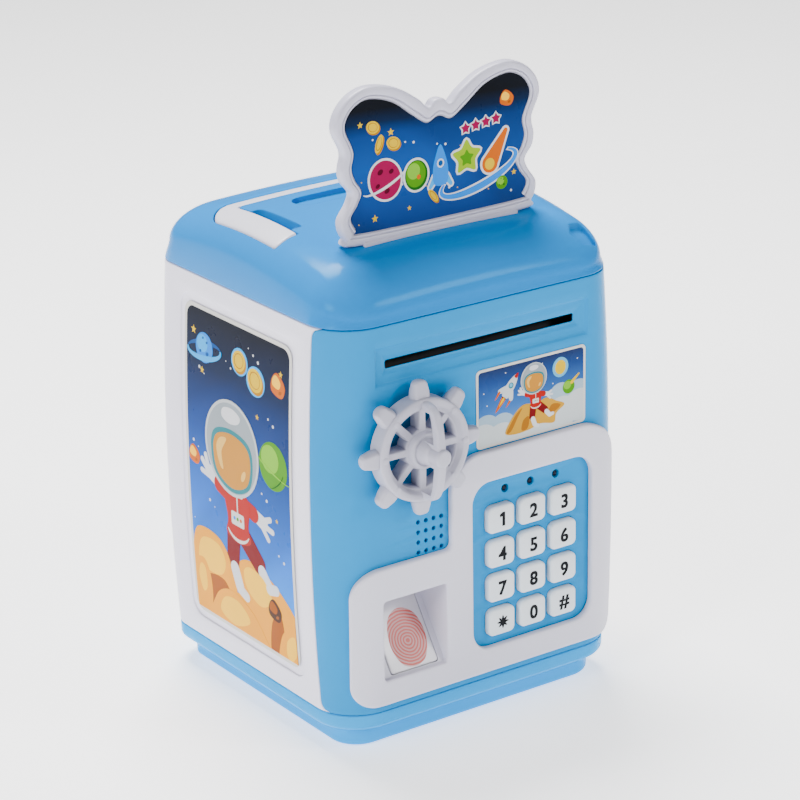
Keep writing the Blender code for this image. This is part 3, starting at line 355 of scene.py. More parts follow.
# ---- materials -------------------------------------------------------------------------
def node(tree, kind, **values):
    item = tree.nodes.new(kind)
    for key, value in values.items():
        if hasattr(item, key):
            setattr(item, key, value)
        else:
            item.inputs[key.replace("_", " ")].default_value = value
    return item


def object_noise(tree, scale, detail=3.0, roughness=0.5):
    coords = tree.nodes.new("ShaderNodeTexCoord")
    noise = node(tree, "ShaderNodeTexNoise", Scale=scale, Detail=detail, Roughness=roughness)
    tree.links.new(coords.outputs["Object"], noise.inputs["Vector"])
    return noise


def two_tone(tree, factor, dark, light, low=0.3, high=0.7):
    ramp = tree.nodes.new("ShaderNodeValToRGB")
    ramp.color_ramp.elements[0].position = low
    ramp.color_ramp.elements[0].color = (*dark, 1.0)
    ramp.color_ramp.elements[1].position = high
    ramp.color_ramp.elements[1].color = (*light, 1.0)
    tree.links.new(factor, ramp.inputs["Fac"])
    return ramp.outputs["Color"]


def tinted(colour, k):
    return tuple(min(1.0, c * k) for c in colour)


def plastic(name, colour, rough, mottle, grain, grain_scale, sss=0.0, shine=None, gloss=0.5):
    """Moulded plastic: faint flow mottling, uneven gloss and a fine surface grain."""
    mat = bpy.data.materials.new(name)
    mat.use_nodes = True
    tree = mat.node_tree
    shader = tree.nodes["Principled BSDF"]
    flow = object_noise(tree, 28.0, 4.0)
    tint = two_tone(tree, flow.outputs["Fac"], tinted(colour, 1.0 - mottle), tinted(colour, 1.0 + mottle))
    tree.links.new(tint, shader.inputs["Base Color"])
    patch = object_noise(tree, 65.0, 5.0, 0.6)
    spread = node(tree, "ShaderNodeMapRange", To_Min=rough * 0.82, To_Max=rough * 1.2)
    tree.links.new(patch.outputs["Fac"], spread.inputs["Value"])
    tree.links.new(spread.outputs["Result"], shader.inputs["Roughness"])
    fine = object_noise(tree, grain_scale, 2.0)
    bump = node(tree, "ShaderNodeBump", Strength=grain, Distance=0.00012)
    tree.links.new(fine.outputs["Fac"], bump.inputs["Height"])
    tree.links.new(bump.outputs["Normal"], shader.inputs["Normal"])
    shader.inputs["IOR"].default_value = 1.5
    shader.inputs["Specular IOR Level"].default_value = gloss
    if shine:
        shader.inputs["Specular Tint"].default_value = (*shine, 1.0)
    if sss:
        shader.inputs["Subsurface Weight"].default_value = sss
        shader.inputs["Subsurface Radius"].default_value = (0.004, 0.004, 0.005)
        shader.inputs["Subsurface Scale"].default_value = 0.5
    return mat


def metal(name, colour):
    """Drawn or turned steel with fine streaks."""
    mat = plastic(name, colour, 0.32, 0.06, 0.1, 500.0)
    mat.node_tree.nodes["Principled BSDF"].inputs["Metallic"].default_value = 1.0
    return mat


LID_BLUE = (0.0, 0.20, 0.56)
DOOR_BLUE = (0.0, 0.24, 0.56)
BASE_BLUE = (0.0, 0.33, 0.76)
BLUE_SHINE = (0.10, 0.62, 1.0)
WHITE = (0.79, 0.77, 0.90)
INK = (0.006, 0.006, 0.008)

MATERIALS = {
    "pad": plastic("pad_white_gloss", (0.62, 0.61, 0.66), 0.25, 0.015, 0.03, 900.0),
    "lid": plastic("lid_blue_gloss", LID_BLUE, 0.16, 0.02, 0.02, 700.0, shine=BLUE_SHINE, gloss=0.08),
    "door": plastic("door_blue_gloss", DOOR_BLUE, 0.18, 0.02, 0.02, 700.0, shine=BLUE_SHINE, gloss=0.06),
    "base": plastic("base_blue_gloss", BASE_BLUE, 0.2, 0.02, 0.03, 700.0, shine=BLUE_SHINE, gloss=0.06),
    "shell": plastic("shell_white_satin", WHITE, 0.36, 0.012, 0.05, 1100.0, sss=0.04),
    "fascia": plastic("fascia_white_satin", (0.60, 0.59, 0.69), 0.38, 0.012, 0.06, 1100.0, sss=0.04),
    "handle": plastic("handle_white_satin", (0.67, 0.66, 0.74), 0.34, 0.015, 0.05, 1000.0, sss=0.04),
    "sign": plastic("sign_white_satin", (0.51, 0.50, 0.61), 0.34, 0.015, 0.05, 1000.0, sss=0.04),
    "wheel": plastic("wheel_white_satin", (0.42, 0.415, 0.50), 0.40, 0.015, 0.08, 1000.0, sss=0.05),
    "key": plastic("key_white_soft", (0.68, 0.735, 0.79), 0.34, 0.012, 0.05, 1200.0, sss=0.05),
    "ink": plastic("key_print_ink", INK, 0.6, 0.1, 0.05, 1500.0, gloss=0.1),
    "rubber": plastic("black_rubber", (0.022, 0.022, 0.025), 0.75, 0.2, 0.4, 1500.0),
    "mat": plastic("grey_rubber_mat", (0.22, 0.23, 0.25), 0.7, 0.1, 0.3, 1500.0),
    "board": plastic("circuit_board_green", (0.012, 0.14, 0.06), 0.4, 0.25, 0.2, 600.0),
    "cover": plastic("inner_cover_white", (0.62, 0.62, 0.65), 0.45, 0.02, 0.12, 900.0),
    "dark": plastic("dark_inner_plastic", (0.03, 0.032, 0.036), 0.5, 0.15, 0.15, 900.0),
    "steel": metal("zinc_plated_steel", (0.56, 0.57, 0.60)),
    "cell": plastic("cell_jacket_green", (0.03, 0.22, 0.11), 0.3, 0.08, 0.05, 700.0),
    "led": plastic("smoked_led_lens", (0.002, 0.005, 0.016), 0.3, 0.2, 0.02, 900.0, gloss=0.15),
}


# ---- body sections -----------------------------------------------------------------------
def half_width(z):
    return HALF_W - BELLY_DROP * ((z - BELLY_Z) / 80.0) ** 2


def corner_relief(z):
    """How far the door's left edge draws back near its rounded upper and lower ends."""
    r = 4.0
    t = max(z - (DOOR_TOP - r), (DOOR_BOTTOM + r) - z, 0.0)
    return r - sqrt(max(r * r - t * t, 0.0))


def z_stations(low, high, step=5.0):
    ends = (0.0, 0.9, 1.9, 3.0, 4.2)
    middle_low = low + 9.0
    middle_high = high - 9.0
    count = int((middle_high - middle_low) / step)
    middle = [middle_low + (middle_high - middle_low) * k / count for k in range(count + 1)]
    return [low + e for e in ends] + middle + [high - e for e in reversed(ends)]


def arc(cx, cy, r, a0, a1, count):
    """Points from angle a0 to a1, measured from -Y towards +X."""
    step = (a1 - a0) / count
    return [(cx + r * sin(a0 + k * step), cy - r * cos(a0 + k * step)) for k in range(count + 1)]


def door_section(z):
    """One plan section of the door: wrap-around skin with a solid hinge lobe."""
    cx = half_width(z) - FRONT_R
    edge = SEAM_Y - corner_relief(z)
    inner_r = FRONT_R - WALL
    t_out = acos((CORNER_Y - edge) / FRONT_R)
    t_in = acos((CORNER_Y - edge) / inner_r)
    t_hinge = acos((CORNER_Y - HINGE[1]) / FRONT_R)
    lobe_r = cx + FRONT_R * sin(t_hinge) - HINGE[0]
    lobe_x = 54.2
    pts = arc(-cx, CORNER_Y, FRONT_R, -t_out, 0.0, 20)
    pts += arc(cx, CORNER_Y, FRONT_R, 0.0, t_hinge, 20)
    pts += arc(HINGE[0], HINGE[1], lobe_r, 0.5 * pi, pi, 9)[1:]
    pts.append((lobe_x, HINGE[1] + lobe_r))
    pts += arc(cx, CORNER_Y, inner_r, asin((lobe_x - cx) / inner_r), 0.0, 6)
    pts += arc(-cx, CORNER_Y, inner_r, 0.0, -t_in, 14)
    return [(x, y, z) for x, y in pts]


def shell_section(z):
    """One plan section of the U-shaped shell: two sides and the back."""
    hw = half_width(z)
    cx = hw - FRONT_R
    edge = SEAM_Y + GAP - corner_relief(z)
    inner_r = FRONT_R - WALL
    t_out = acos((CORNER_Y - edge) / FRONT_R)
    t_in = acos((CORNER_Y - edge) / inner_r)
    rx = hw - REAR_R
    ry = HALF_D - REAR_R
    r_in = REAR_R - WALL
    pts = arc(-cx, CORNER_Y, inner_r, -t_in, -0.5 * pi, 4)
    pts += arc(-rx, ry, r_in, -0.5 * pi, -pi, 12)
    pts += arc(rx, ry, r_in, pi, 0.5 * pi, 12)
    pts.append((hw - WALL, SHELL_RIGHT_Y))
    pts.append((hw, SHELL_RIGHT_Y))
    pts += arc(rx, ry, REAR_R, 0.5 * pi, pi, 16)
    pts += arc(-rx, ry, REAR_R, -pi, -0.5 * pi, 16)
    pts += arc(-cx, CORNER_Y, FRONT_R, -0.5 * pi, -t_out, 4)
    return [(x, y, z) for x, y in pts]


def plan(hw, offset, z, count=14):
    """Rounded plan rectangle of the body, drawn in by offset."""
    hx = hw - offset
    hy = HALF_D - offset
    front = max(FRONT_R - offset, 1.5)
    rear = max(REAR_R - offset, 1.5)
    corners = [(-hx, -hy, front), (hx, -hy, front), (hx, hy, rear), (-hx, hy, rear)]
    return [(x, y, z) for x, y in rounded(corners, count)]


def quarter(count, a0=0.0, a1=0.5 * pi):
    """Evenly spaced (cosine, sine) pairs along an arc."""
    return [(cos(a0 + (a1 - a0) * k / count), sin(a0 + (a1 - a0) * k / count))
            for k in range(count + 1)]


# ---- base ----------------------------------------------------------------------------------
def base_profile():
    """(offset, z) pairs up the outside, over the rim and down into the tray."""
    foot_r = 2.2
    band_r = 2.6
    rim_r = 0.5
    out = [(PLINTH_INSET + foot_r * (1.0 - s), FLOOR_Z + foot_r * (1.0 - c))
           for c, s in quarter(5)]
    out += [(PLINTH_INSET, STEP_Z - 0.6), (PLINTH_INSET - 0.2, STEP_Z - 0.15), (PLINTH_INSET - 0.6, STEP_Z)]
    out += [(band_r * (1.0 - s), STEP_Z + band_r * (1.0 - c)) for c, s in quarter(6)]
    out += [(rim_r * (1.0 - c), BASE_TOP - rim_r * (1.0 - s)) for c, s in quarter(4)]
    lip = WALL + 0.4
    out += [(lip, BASE_TOP), (lip, BASE_TOP + 2.2), (lip + 0.4, BASE_TOP + 2.6)]
    out += [(lip + 1.2, BASE_TOP + 2.6), (lip + 1.6, BASE_TOP + 2.2), (WALL + 5.6, 5.4), (WALL + 7.0, 4.0)]
    return out


FEET_AT = node_centres(("foot_1", "foot_2", "foot_3", "foot_4"), "x", "y")
SCREW_AT = node_centres(("base_screw_1", "base_screw_2", "base_screw_3", "base_screw_4"), "x", "y")


def build_base():
    hw = half_width(BASE_TOP)
    bm = bmesh.new()
    loft(bm, [plan(hw, offset, z) for offset, z in base_profile()])
    base = plain_object("base_moulding", bm)
    notch = bmesh.new()
    box(notch, 45.0, 70.0, -70.0, -37.0, BASE_TOP + 0.02, BASE_TOP + 8.0)
    cut(base, notch)
    post = bmesh.new()
    turned(post, "Z", HINGE, [(STEP_Z + 1.4, 4.2), (BASE_TOP - 0.05, 4.2)], 32)
    join(base, post)
    holes = bmesh.new()
    turned(holes, "Z", HINGE, [(11.8, 1.55), (BASE_TOP + 5.0, 1.55)], 32)
    bore = [(-1.0, 3.5), (0.6, 3.3), (0.9, 3.0), (2.3, 3.0), (2.3, 1.5), (8.0, 1.5)]
    for at in SCREW_AT:
        turned(holes, "Z", at, bore, 32)
    for at in FEET_AT:
        turned(holes, "Z", at, [(-1.0, 6.7), (0.6, 6.5), (0.9, 6.3), (1.6, 6.3)], 40)
    cut(base, holes)
    finished(base, MATERIALS["base"], "body", ["base"])


def build_feet():
    for k, at in enumerate(FEET_AT):
        bm = bmesh.new()
        profile = [(0.35, 3.2), (0.0, 3.6), (0.0, 5.3), (0.1, 5.65), (0.32, 5.9), (0.65, 6.0), (1.4, 6.0)]
        turned(bm, "Z", at, profile)
        foot = plain_object("rubber_foot_%d" % (k + 1), bm)
        finished(foot, MATERIALS["rubber"], "body", ["foot_%d" % (k + 1)])


# ---- shell -----------------------------------------------------------------------------------
def side_layer(bm, sign, outline, levels, step=4.0):
    """Patch on the bulging side: levels are (inset, offset from the side) pairs."""
    layer = bmesh.new()
    stack(layer, "X", [(w, inset(outline, d)) for d, w in levels])
    zs = [z for _, z in outline]
    slice_grid(layer, "Z", min(zs), max(zs), step)
    for v in layer.verts:
        v.co.x = sign * (half_width(v.co.z) + v.co.x)
    merge(bm, layer)


SIDE_WINDOW = (SIDE_BOX[0].y, SIDE_BOX[1].y, SIDE_BOX[0].z, SIDE_BOX[1].z)
RECESS_MARGIN = 2.9


def build_shell():
    low = BASE_TOP + 0.35
    high = SEAM_TOP - 0.35
    bm = bmesh.new()
    loft(bm, [shell_section(z) for z in z_stations(low, high)])
    shell = plain_object("body_moulding", bm)
    soften(shell, 0.45, 3)
    posts = bmesh.new()
    for x, y in SCREW_AT:
        sign = 1.0 if x > 0 else -1.0
        edge = sign * (half_width(24.0) - WALL + 0.8)
        foot = sorted((x - sign * 3.2, x + sign * 3.2))
        web = sorted((x - sign * 3.2, edge))
        box(posts, web[0], web[1], y - 3.2, y + 3.2, 20.0, 28.0)
        box(posts, foot[0], foot[1], y - 3.2, y + 3.2, 4.4, 20.001)
    join(shell, posts)
    keeper = bmesh.new()
    box(keeper, -66.4, -58.6, SEAM_Y + 0.7, -44.6, 110.0, 129.0)
    join(shell, keeper)
    for sign in (-1, 1):
        recess = bmesh.new()
        y0, y1, z0, z1 = SIDE_WINDOW
        m = RECESS_MARGIN
        outline = rect(y0 - m - 0.3, y1 + m - 0.3, z0 - m, z1 + m + 0.3, 6.5, 10)
        levels = [(0.35, -0.8), (0.1, -0.72), (0.0, -0.5), (-0.05, -0.25), (-0.2, -0.08), (-0.45, 0.02),
                  (-0.5, 2.0)]
        side_layer(recess, sign, outline, levels)
        cut(shell, recess)
    finished(shell, MATERIALS["shell"], "body", ["body_shell"])


# ---- lid -----------------------------------------------------------------------------------------
def crown(x, y):
    return LID_TOP - LID_DROP_X * (x / 65.0) ** 2 - LID_DROP_Y * ((y - LID_CROWN_Y) / 62.0) ** 2


LID_HX = half_width(SEAM_TOP) - LID_DRAFT
LID_HY = HALF_D - 0.6 * LID_DRAFT


def lid_radii(offset):
    return max(FRONT_R - 0.75 * offset, 3.0), max(REAR_R + 2.0 - 0.6 * offset, 3.0)


def edge_drop(offset):
    u = min(max(LID_EDGE_PLAN - offset, 0.0) / LID_EDGE_PLAN, 1.0)
    return LID_EDGE_RISE * (1.0 - sqrt(max(1.0 - u * u, 0.0)))


def lid_offset(x, y):
    """Which of the lid's nested rings passes through a plan point."""
    low = 0.0
    high = 58.0
    for _ in range(22):
        mid = 0.5 * (low + high)
        front, rear = lid_radii(mid)
        r = front if y < 0 else rear
        qx = abs(x) - (LID_HX - mid) + r
        qy = abs(y) - (LID_HY - mid) + r
        far = sqrt(max(qx, 0.0) ** 2 + max(qy, 0.0) ** 2) + min(max(qx, qy), 0.0) - r
        if far > 0.0:
            high = mid
        else:
            low = mid
    return 0.5 * (low + high)


def lid_height(x, y):
    return crown(x, y) - edge_drop(lid_offset(x, y))


def fill_in(points, across, along):
    """Add evenly spaced points to a ring's four straight edges: across X, then along Y."""
    out = []
    corner = len(points) // 4
    for i in range(4):
        out += points[i * corner:(i + 1) * corner]
        start = Vector(points[(i + 1) * corner - 1])
        end = Vector(points[(i + 1) * corner % len(points)])
        steps = along if i % 2 else across
        out += [tuple(start.lerp(end, k / steps)) for k in range(1, steps)]
    return out


def lid_ring(offset, lower):
    hx = LID_HX - offset
    hy = LID_HY - offset
    front, rear = lid_radii(offset)
    corners = [(-hx, -hy, front), (hx, -hy, front), (hx, hy, rear), (-hx, hy, rear)]
    outline = fill_in(rounded(corners, 12), 16, 18)
    drop = edge_drop(offset)
    return [(x, y, crown(x, y) - drop - lower) for x, y in outline]


def lid_foot(offset, z):
    return fill_in(plan(half_width(SEAM_TOP), offset, z, 12), 16, 18)


def lid_rings(lower):
    rings = [lid_ring(LID_EDGE_PLAN * (1.0 - cos(0.5 * pi * k / 18.0)), lower) for k in range(19)]
    return rings + [lid_ring(20.0 + 3.8 * k, lower) for k in range(11)]


def drape(bm, floor, slack=3.0):
    """Turn heights above the lid's surface into real z; anything far below lies on the floor."""
    for v in bm.verts:
        if v.co.z < -slack:
            v.co.z = floor
        else:
            v.co.z = lid_height(v.co.x, v.co.y) + v.co.z


def draped_prism(bm, outline, levels, floor, step):
    """Prism whose upper edge follows the lid: levels are (inset, height above the lid)."""
    layer = bmesh.new()
    stack(layer, "Z", [(w, inset(outline, d)) for d, w in levels])
    xs = [x for x, _ in outline]
    ys = [y for _, y in outline]
    slice_grid(layer, "X", min(xs) + 0.01, max(xs) - 0.01, step)
    slice_grid(layer, "Y", min(ys) + 0.01, max(ys) - 0.01, step)
    drape(layer, floor)
    merge(bm, layer)


MOUTH = [(0.0, -9.0), (0.0, -0.45), (-0.06, -0.22), (-0.2, -0.07), (-0.5, 0.03), (-0.55, 3.0)]


def handle_outline(grow, end_r=0.8, count=7):
    """The handle's U in plan, from the pivots round the rear bar."""
    front = PIVOT[0] - HANDLE_END_R - grow
    out = HANDLE_OUT + grow
    inn = HANDLE_IN - grow
    rear = HANDLE_REAR + grow
    bar = HANDLE_REAR - HANDLE_BAR - grow
    corners = [
        (-out, front, end_r), (-inn, front, end_r), (-inn, bar, 2.0), (inn, bar, 2.0),
        (inn, front, end_r), (out, front, end_r), (out, rear, 9.0), (-out, rear, 9.0),
    ]
    return rounded(corners, count)


def build_lid():
    bm = bmesh.new()
    foot = lid_foot(0.35, SEAM_TOP)
    rings = [foot, lid_foot(0.1, SEAM_TOP + 0.12), lid_foot(0.0, SEAM_TOP + 0.4)]
    loft(bm, rings + lid_rings(0.0))
    lid = plain_object("lid_moulding", bm)
    plug = bmesh.new()
    loft(plug, [plan(half_width(SEAM_TOP), WALL + 0.4, z) for z in (SEAM_TOP - 3.0, SEAM_TOP + 1.0)])
    plug = plain_object("plug", plug)
    notch = bmesh.new()
    box(notch, 44.0, 70.0, -70.0, -37.0, SEAM_TOP - 8.0, SEAM_TOP + 8.0)
    cut(plug, notch)
    combine(lid, plug, "UNION")
    hollow = bmesh.new()
    inside = [lid_foot(WALL + 2.0, SEAM_TOP - 6.0), lid_foot(WALL + 2.0, SEAM_TOP + 2.4),
              lid_foot(WALL, SEAM_TOP + 3.0), lid_foot(WALL, SEAM_TOP + 6.0)]
    inside += [lid_ring(offset, LID_CEILING) for offset in (9.0, 14.0, 20.0, 34.0, 50.0)]
    loft(hollow, inside)
    cut(lid, hollow)
    pads = bmesh.new()
    prism(pads, "Z", handle_outline(1.6), 180.8, 184.3)
    turned(pads, "Z", HINGE, [(SEAM_TOP + 0.05, 3.3), (172.6, 3.3)], 32)
    join(lid, pads)
    cuts = bmesh.new()
    draped_prism(cuts, handle_outline(0.35), MOUTH, HANDLE_FLOOR - 0.35, 3.0)
    dish = [(0.9, -9.0), (0.3, -2.15), (0.0, -1.6), (0.0, -0.5), (-0.1, -0.2), (-0.3, -0.05),
            (-0.7, 0.03), (-0.75, 3.0)]
    draped_prism(cuts, rect(*TROUGH, 5.6, 10), dish, 189.4, 3.0)
    for sign in (-1.0, 1.0):
        tab = sorted((sign * 11.6, sign * 24.4))
        box(cuts, tab[0], tab[1], -35.5, -32.5, 176.0, 195.0)
    turned(cuts, "Z", HINGE, [(SEAM_TOP - 3.0, 1.55), (171.2, 1.55)], 32)
    cut(lid, cuts)
    slots = bmesh.new()
    lips = ((176.0, 0.0), (189.0, 0.0), (189.25, -0.05), (189.43, -0.25), (195.0, -0.25))
    stack(slots, "Z", [(z, inset(rect(*COIN_SLOT, 2.0, 6), d)) for z, d in lips])
    for sign in (-1.0, 1.0):
        x0 = sign * (HANDLE_IN + 0.2)
        x1 = sign * (HANDLE_IN - FINGER_GAP)
        x2 = sign * (HANDLE_IN - FINGER_GAP + 0.8)
        corners = [(x0, -9.6, 0.4), (x1, -9.6, 1.2), (x2, 17.0, 2.0), (x0, 17.0, 0.4)]
        if sign > 0:
            corners.reverse()
        draped_prism(slots, rounded(corners, 6), MOUTH, HANDLE_FLOOR - 0.2, 3.0)
    scoop = [(x, y, 1.6) for x, y in ((46.0, -53.5), (49.0, -57.0), (58.0, -55.0), (56.0, -47.0),
                                      (49.0, -49.0))]
    dip = [(1.2, -2.6), (0.5, -2.3), (0.1, -1.6), (0.0, -0.45), (-0.1, -0.2), (-0.25, -0.06),
           (-0.55, 0.03), (-0.6, 3.0)]
    draped_prism(slots, rounded(scoop, 6), dip, 0.0, 2.0)
    cut(lid, slots)
    sockets = bmesh.new()
    for sign in (-1.0, 1.0):
        a, b = sorted((sign * 45.3, sign * (HANDLE_IN + 0.1)))
        turned(sockets, "X", PIVOT, [(a, 1.3), (b, 1.3)], 24)
    cut(lid, sockets)
    finished(lid, MATERIALS["lid"], "body", ["top_cover"], 30.0)


def build_handle():
    bm = bmesh.new()
    levels = [(0.0, -9.0), (0.0, -1.0), (0.05, -0.66), (0.2, -0.36), (0.42, -0.15), (0.72, -0.03), (1.1, 0.0)]
    draped_prism(bm, handle_outline(0.0, 1.7), levels, HANDLE_FLOOR, 1.8)
    handle = plain_object("handle_moulding", bm)
    y, z = PIVOT
    r = HANDLE_END_R
    nose = [(y - r * s, z + r * c) for c, s in quarter(20, 0.0, pi)]
    nose += [(y, z - 12.0), (y - 12.0, z - 12.0), (y - 12.0, z + 12.0), (y, z + 12.0)]
    cutter = bmesh.new()
    prism(cutter, "X", nose, -70.0, 70.0)
    cut(handle, cutter)
    stubs = bmesh.new()
    for sign in (-1.0, 1.0):
        a, b = sorted((sign * 45.9, sign * (HANDLE_IN + 1.2)))
        turned(stubs, "X", PIVOT, [(a, 1.2), (b, 1.2)], 24)
    join(handle, stubs)
    finished(handle, MATERIALS["handle"], "handle", ["carry_handle"], 40.0)


# ---- sign ---------------------------------------------------------------------------------------
def mirrored(half):
    return list(half) + [(-x, z) for x, z in reversed(half)]


def sign_outline(half, d=0.0):
    """Dense sign outline whose control points are first moved inwards by d."""
    return smooth(inset(mirrored(half), d), 8)


def sign_band(t):
    """Outline between the sign's outer edge (0) and the edge of its printed panel (1)."""
    pairs = zip(sign_outline(SIGN_HALF), sign_outline(SIGN_PANEL_HALF))
    return [(a[0] + (b[0] - a[0]) * t, a[1] + (b[1] - a[1]) * t) for a, b in pairs]


def build_sign():
    y0, y1 = SIGN_Y
    side_r = 1.2
    rings = [(y1 - side_r * (1.0 - c), sign_outline(SIGN_HALF, side_r * (1.0 - s))) for c, s in quarter(6)]
    rings += [(y0 + side_r * (1.0 - s), sign_outline(SIGN_HALF, side_r * (1.0 - c))) for c, s in quarter(6)]
    steps = ((0.44, 0.0), (0.60, 0.04), (0.66, 0.22), (0.69, 0.75), (0.735, 0.75), (0.76, 0.40), (0.80, 0.28),
             (0.86, 0.28), (0.91, 0.42), (0.95, 0.72), (1.0, 1.2))
    rings += [(y0 + d, sign_band(t)) for t, d in steps]
    bm = bmesh.new()
    stack(bm, "Y", rings)
    sign = plain_object("sign_moulding", bm)
    foot = bmesh.new()
    wide = rect(-34.5, 34.5, -37.3, -30.7, 0.6, 4)
    stack(foot, "Z", [(183.0, wide), (188.5, wide), (188.9, rect(-34.1, 34.1, -36.9, -31.1, 0.4, 4))])
    join(sign, foot)
    under = bmesh.new()
    loft(under, [lid_foot(1.0, SEAM_TOP)] + lid_rings(-0.12))
    cut(sign, under)
    tabs = bmesh.new()
    for side in (-1.0, 1.0):
        a, b = sorted((side * 12.0, side * 24.0))
        box(tabs, a, b, -35.1, -32.9, 180.5, 190.0)
    join(sign, tabs)
    finished(sign, MATERIALS["sign"], "body", ["sign_frame"], 40.0)


# ---- door ------------------------------------------------------------------------------------------
def front_hole(bm, outline, lip=0.35, deep=4.0):
    """Hole through the flat front with a softly rounded mouth."""
    levels = [(FACE + deep, 0.0), (FACE + lip, 0.0), (FACE + 0.35 * lip, -0.1 * lip),
              (FACE + 0.1 * lip, -0.35 * lip), (FACE - 0.02, -0.8 * lip), (FACE - 1.0, -0.8 * lip)]
    stack(bm, "Y", [(y, inset(outline, d)) for y, d in levels])


def key_centres():
    return {n: (node_box("key_" + n)[0] + node_box("key_" + n)[1]) / 2.0 for n in KEY_NAMES}


KEY_W = 12.2
KEY_H = 10.8
LED_AT = node_centres(("led_1", "led_2", "led_3"), "x", "z")


def build_door():
    bm = bmesh.new()
    loft(bm, [door_section(z) for z in z_stations(DOOR_BOTTOM, DOOR_TOP)])
    door = plain_object("door_moulding", bm)
    soften(door, 0.5, 3)
    cuts = bmesh.new()
    mid = sum(FRAME_Z) / 2.0
    half = (FRAME_Z[1] - FRAME_Z[0]) / 2.0
    levels = [(-1.0, FRAME_HALF + 0.3, half + 0.3, mid), (-0.02, FRAME_HALF + 0.3, half + 0.3, mid),
              (0.1, FRAME_HALF + 0.08, half + 0.08, mid), (0.3, FRAME_HALF - 0.12, half - 0.12, mid),
              (0.85, FRAME_HALF - 0.75, half - 0.75, mid), (0.95, FRAME_HALF - 1.0, half - 1.0, mid),
              (0.95, SLOT_HALF + 2.3, 3.9, SLOT_Z + 0.2), (1.02, SLOT_HALF + 2.0, 3.6, SLOT_Z + 0.2),
              (1.85, SLOT_HALF + 0.25, SLOT_H / 2.0 + 0.25, SLOT_Z), (2.0, SLOT_HALF, SLOT_H / 2.0, SLOT_Z),
              (4.0, SLOT_HALF, SLOT_H / 2.0, SLOT_Z)]
    stack(cuts, "Y", [(FACE + y, rect(-a, a, c - b, c + b, 0.7, 4)) for y, a, b, c in levels])
    for middle in key_centres().values():
        a = KEY_W / 2.0 + GAP
        b = KEY_H / 2.0 + GAP
        front_hole(cuts, rect(middle.x - a, middle.x + a, middle.z - b, middle.z + b, 3.0, 6), 0.3)
    for x, z in LED_AT:
        front_hole(cuts, circle(x, z, 1.6, 32), 0.4)
    for z in SPEAKER_Z:
        for x in SPEAKER_X:
            front_hole(cuts, circle(x, z, 0.85, 20), 0.3)
    front_hole(cuts, circle(*WHEEL_AT, 3.6, 40), 0.2)
    box(cuts, TUB_X[0] - 1.6, TUB_X[1] + 1.6, FACE - 1.0, FACE + 4.0, TUB_Z[0] - 3.4, TUB_Z[1] + 1.6)
    for z0, z1 in ((DOOR_BOTTOM - 1.0, 26.5), (155.5, DOOR_TOP + 1.0)):
        turned(cuts, "Z", HINGE, [(z0, 1.6), (z1, 1.6)], 32)
    cut(door, cuts)
    finished(door, MATERIALS["door"], "door", ["door_panel"], 30.0)


def wrap_front(bm):
    """Bend a flat plate (x along the face, y outwards) round the two front corners."""
    for sign in (-1.0, 1.0):
        a, b = sorted((sign * 44.0, sign * 61.0))
        slice_grid(bm, "X", a, b, 1.0)
    slice_grid(bm, "Z", 22.0, 106.0, 5.0)
    for v in bm.verts:
        lift = -v.co.y
        flat = half_width(v.co.z) - FRONT_R
        s = abs(v.co.x)
        if s <= flat:
            v.co.y = FACE - lift
            continue
        t = (s - flat) / FRONT_R
        side = 1.0 if v.co.x > 0 else -1.0
        v.co.x = side * (flat + (FRONT_R + lift) * sin(t))
        v.co.y = CORNER_Y - (FRONT_R + lift) * cos(t)


def tub_ring(d, y=None):
    """Rounded rectangle of the fingerprint recess, grown by d; y None follows the slope."""
    x0, x1 = TUB_X[0] - d, TUB_X[1] + d
    z0, z1 = TUB_Z[0] - d, TUB_Z[1] + d
    ring = rect(x0, x1, z0, z1, 1.5 + d, 6)
    if y is None:
        return [(x, TUB_LOW_Y + TUB_SLOPE * (z - TUB_Z[0]), z) for x, z in ring]
    return [(x, y, z) for x, z in ring]


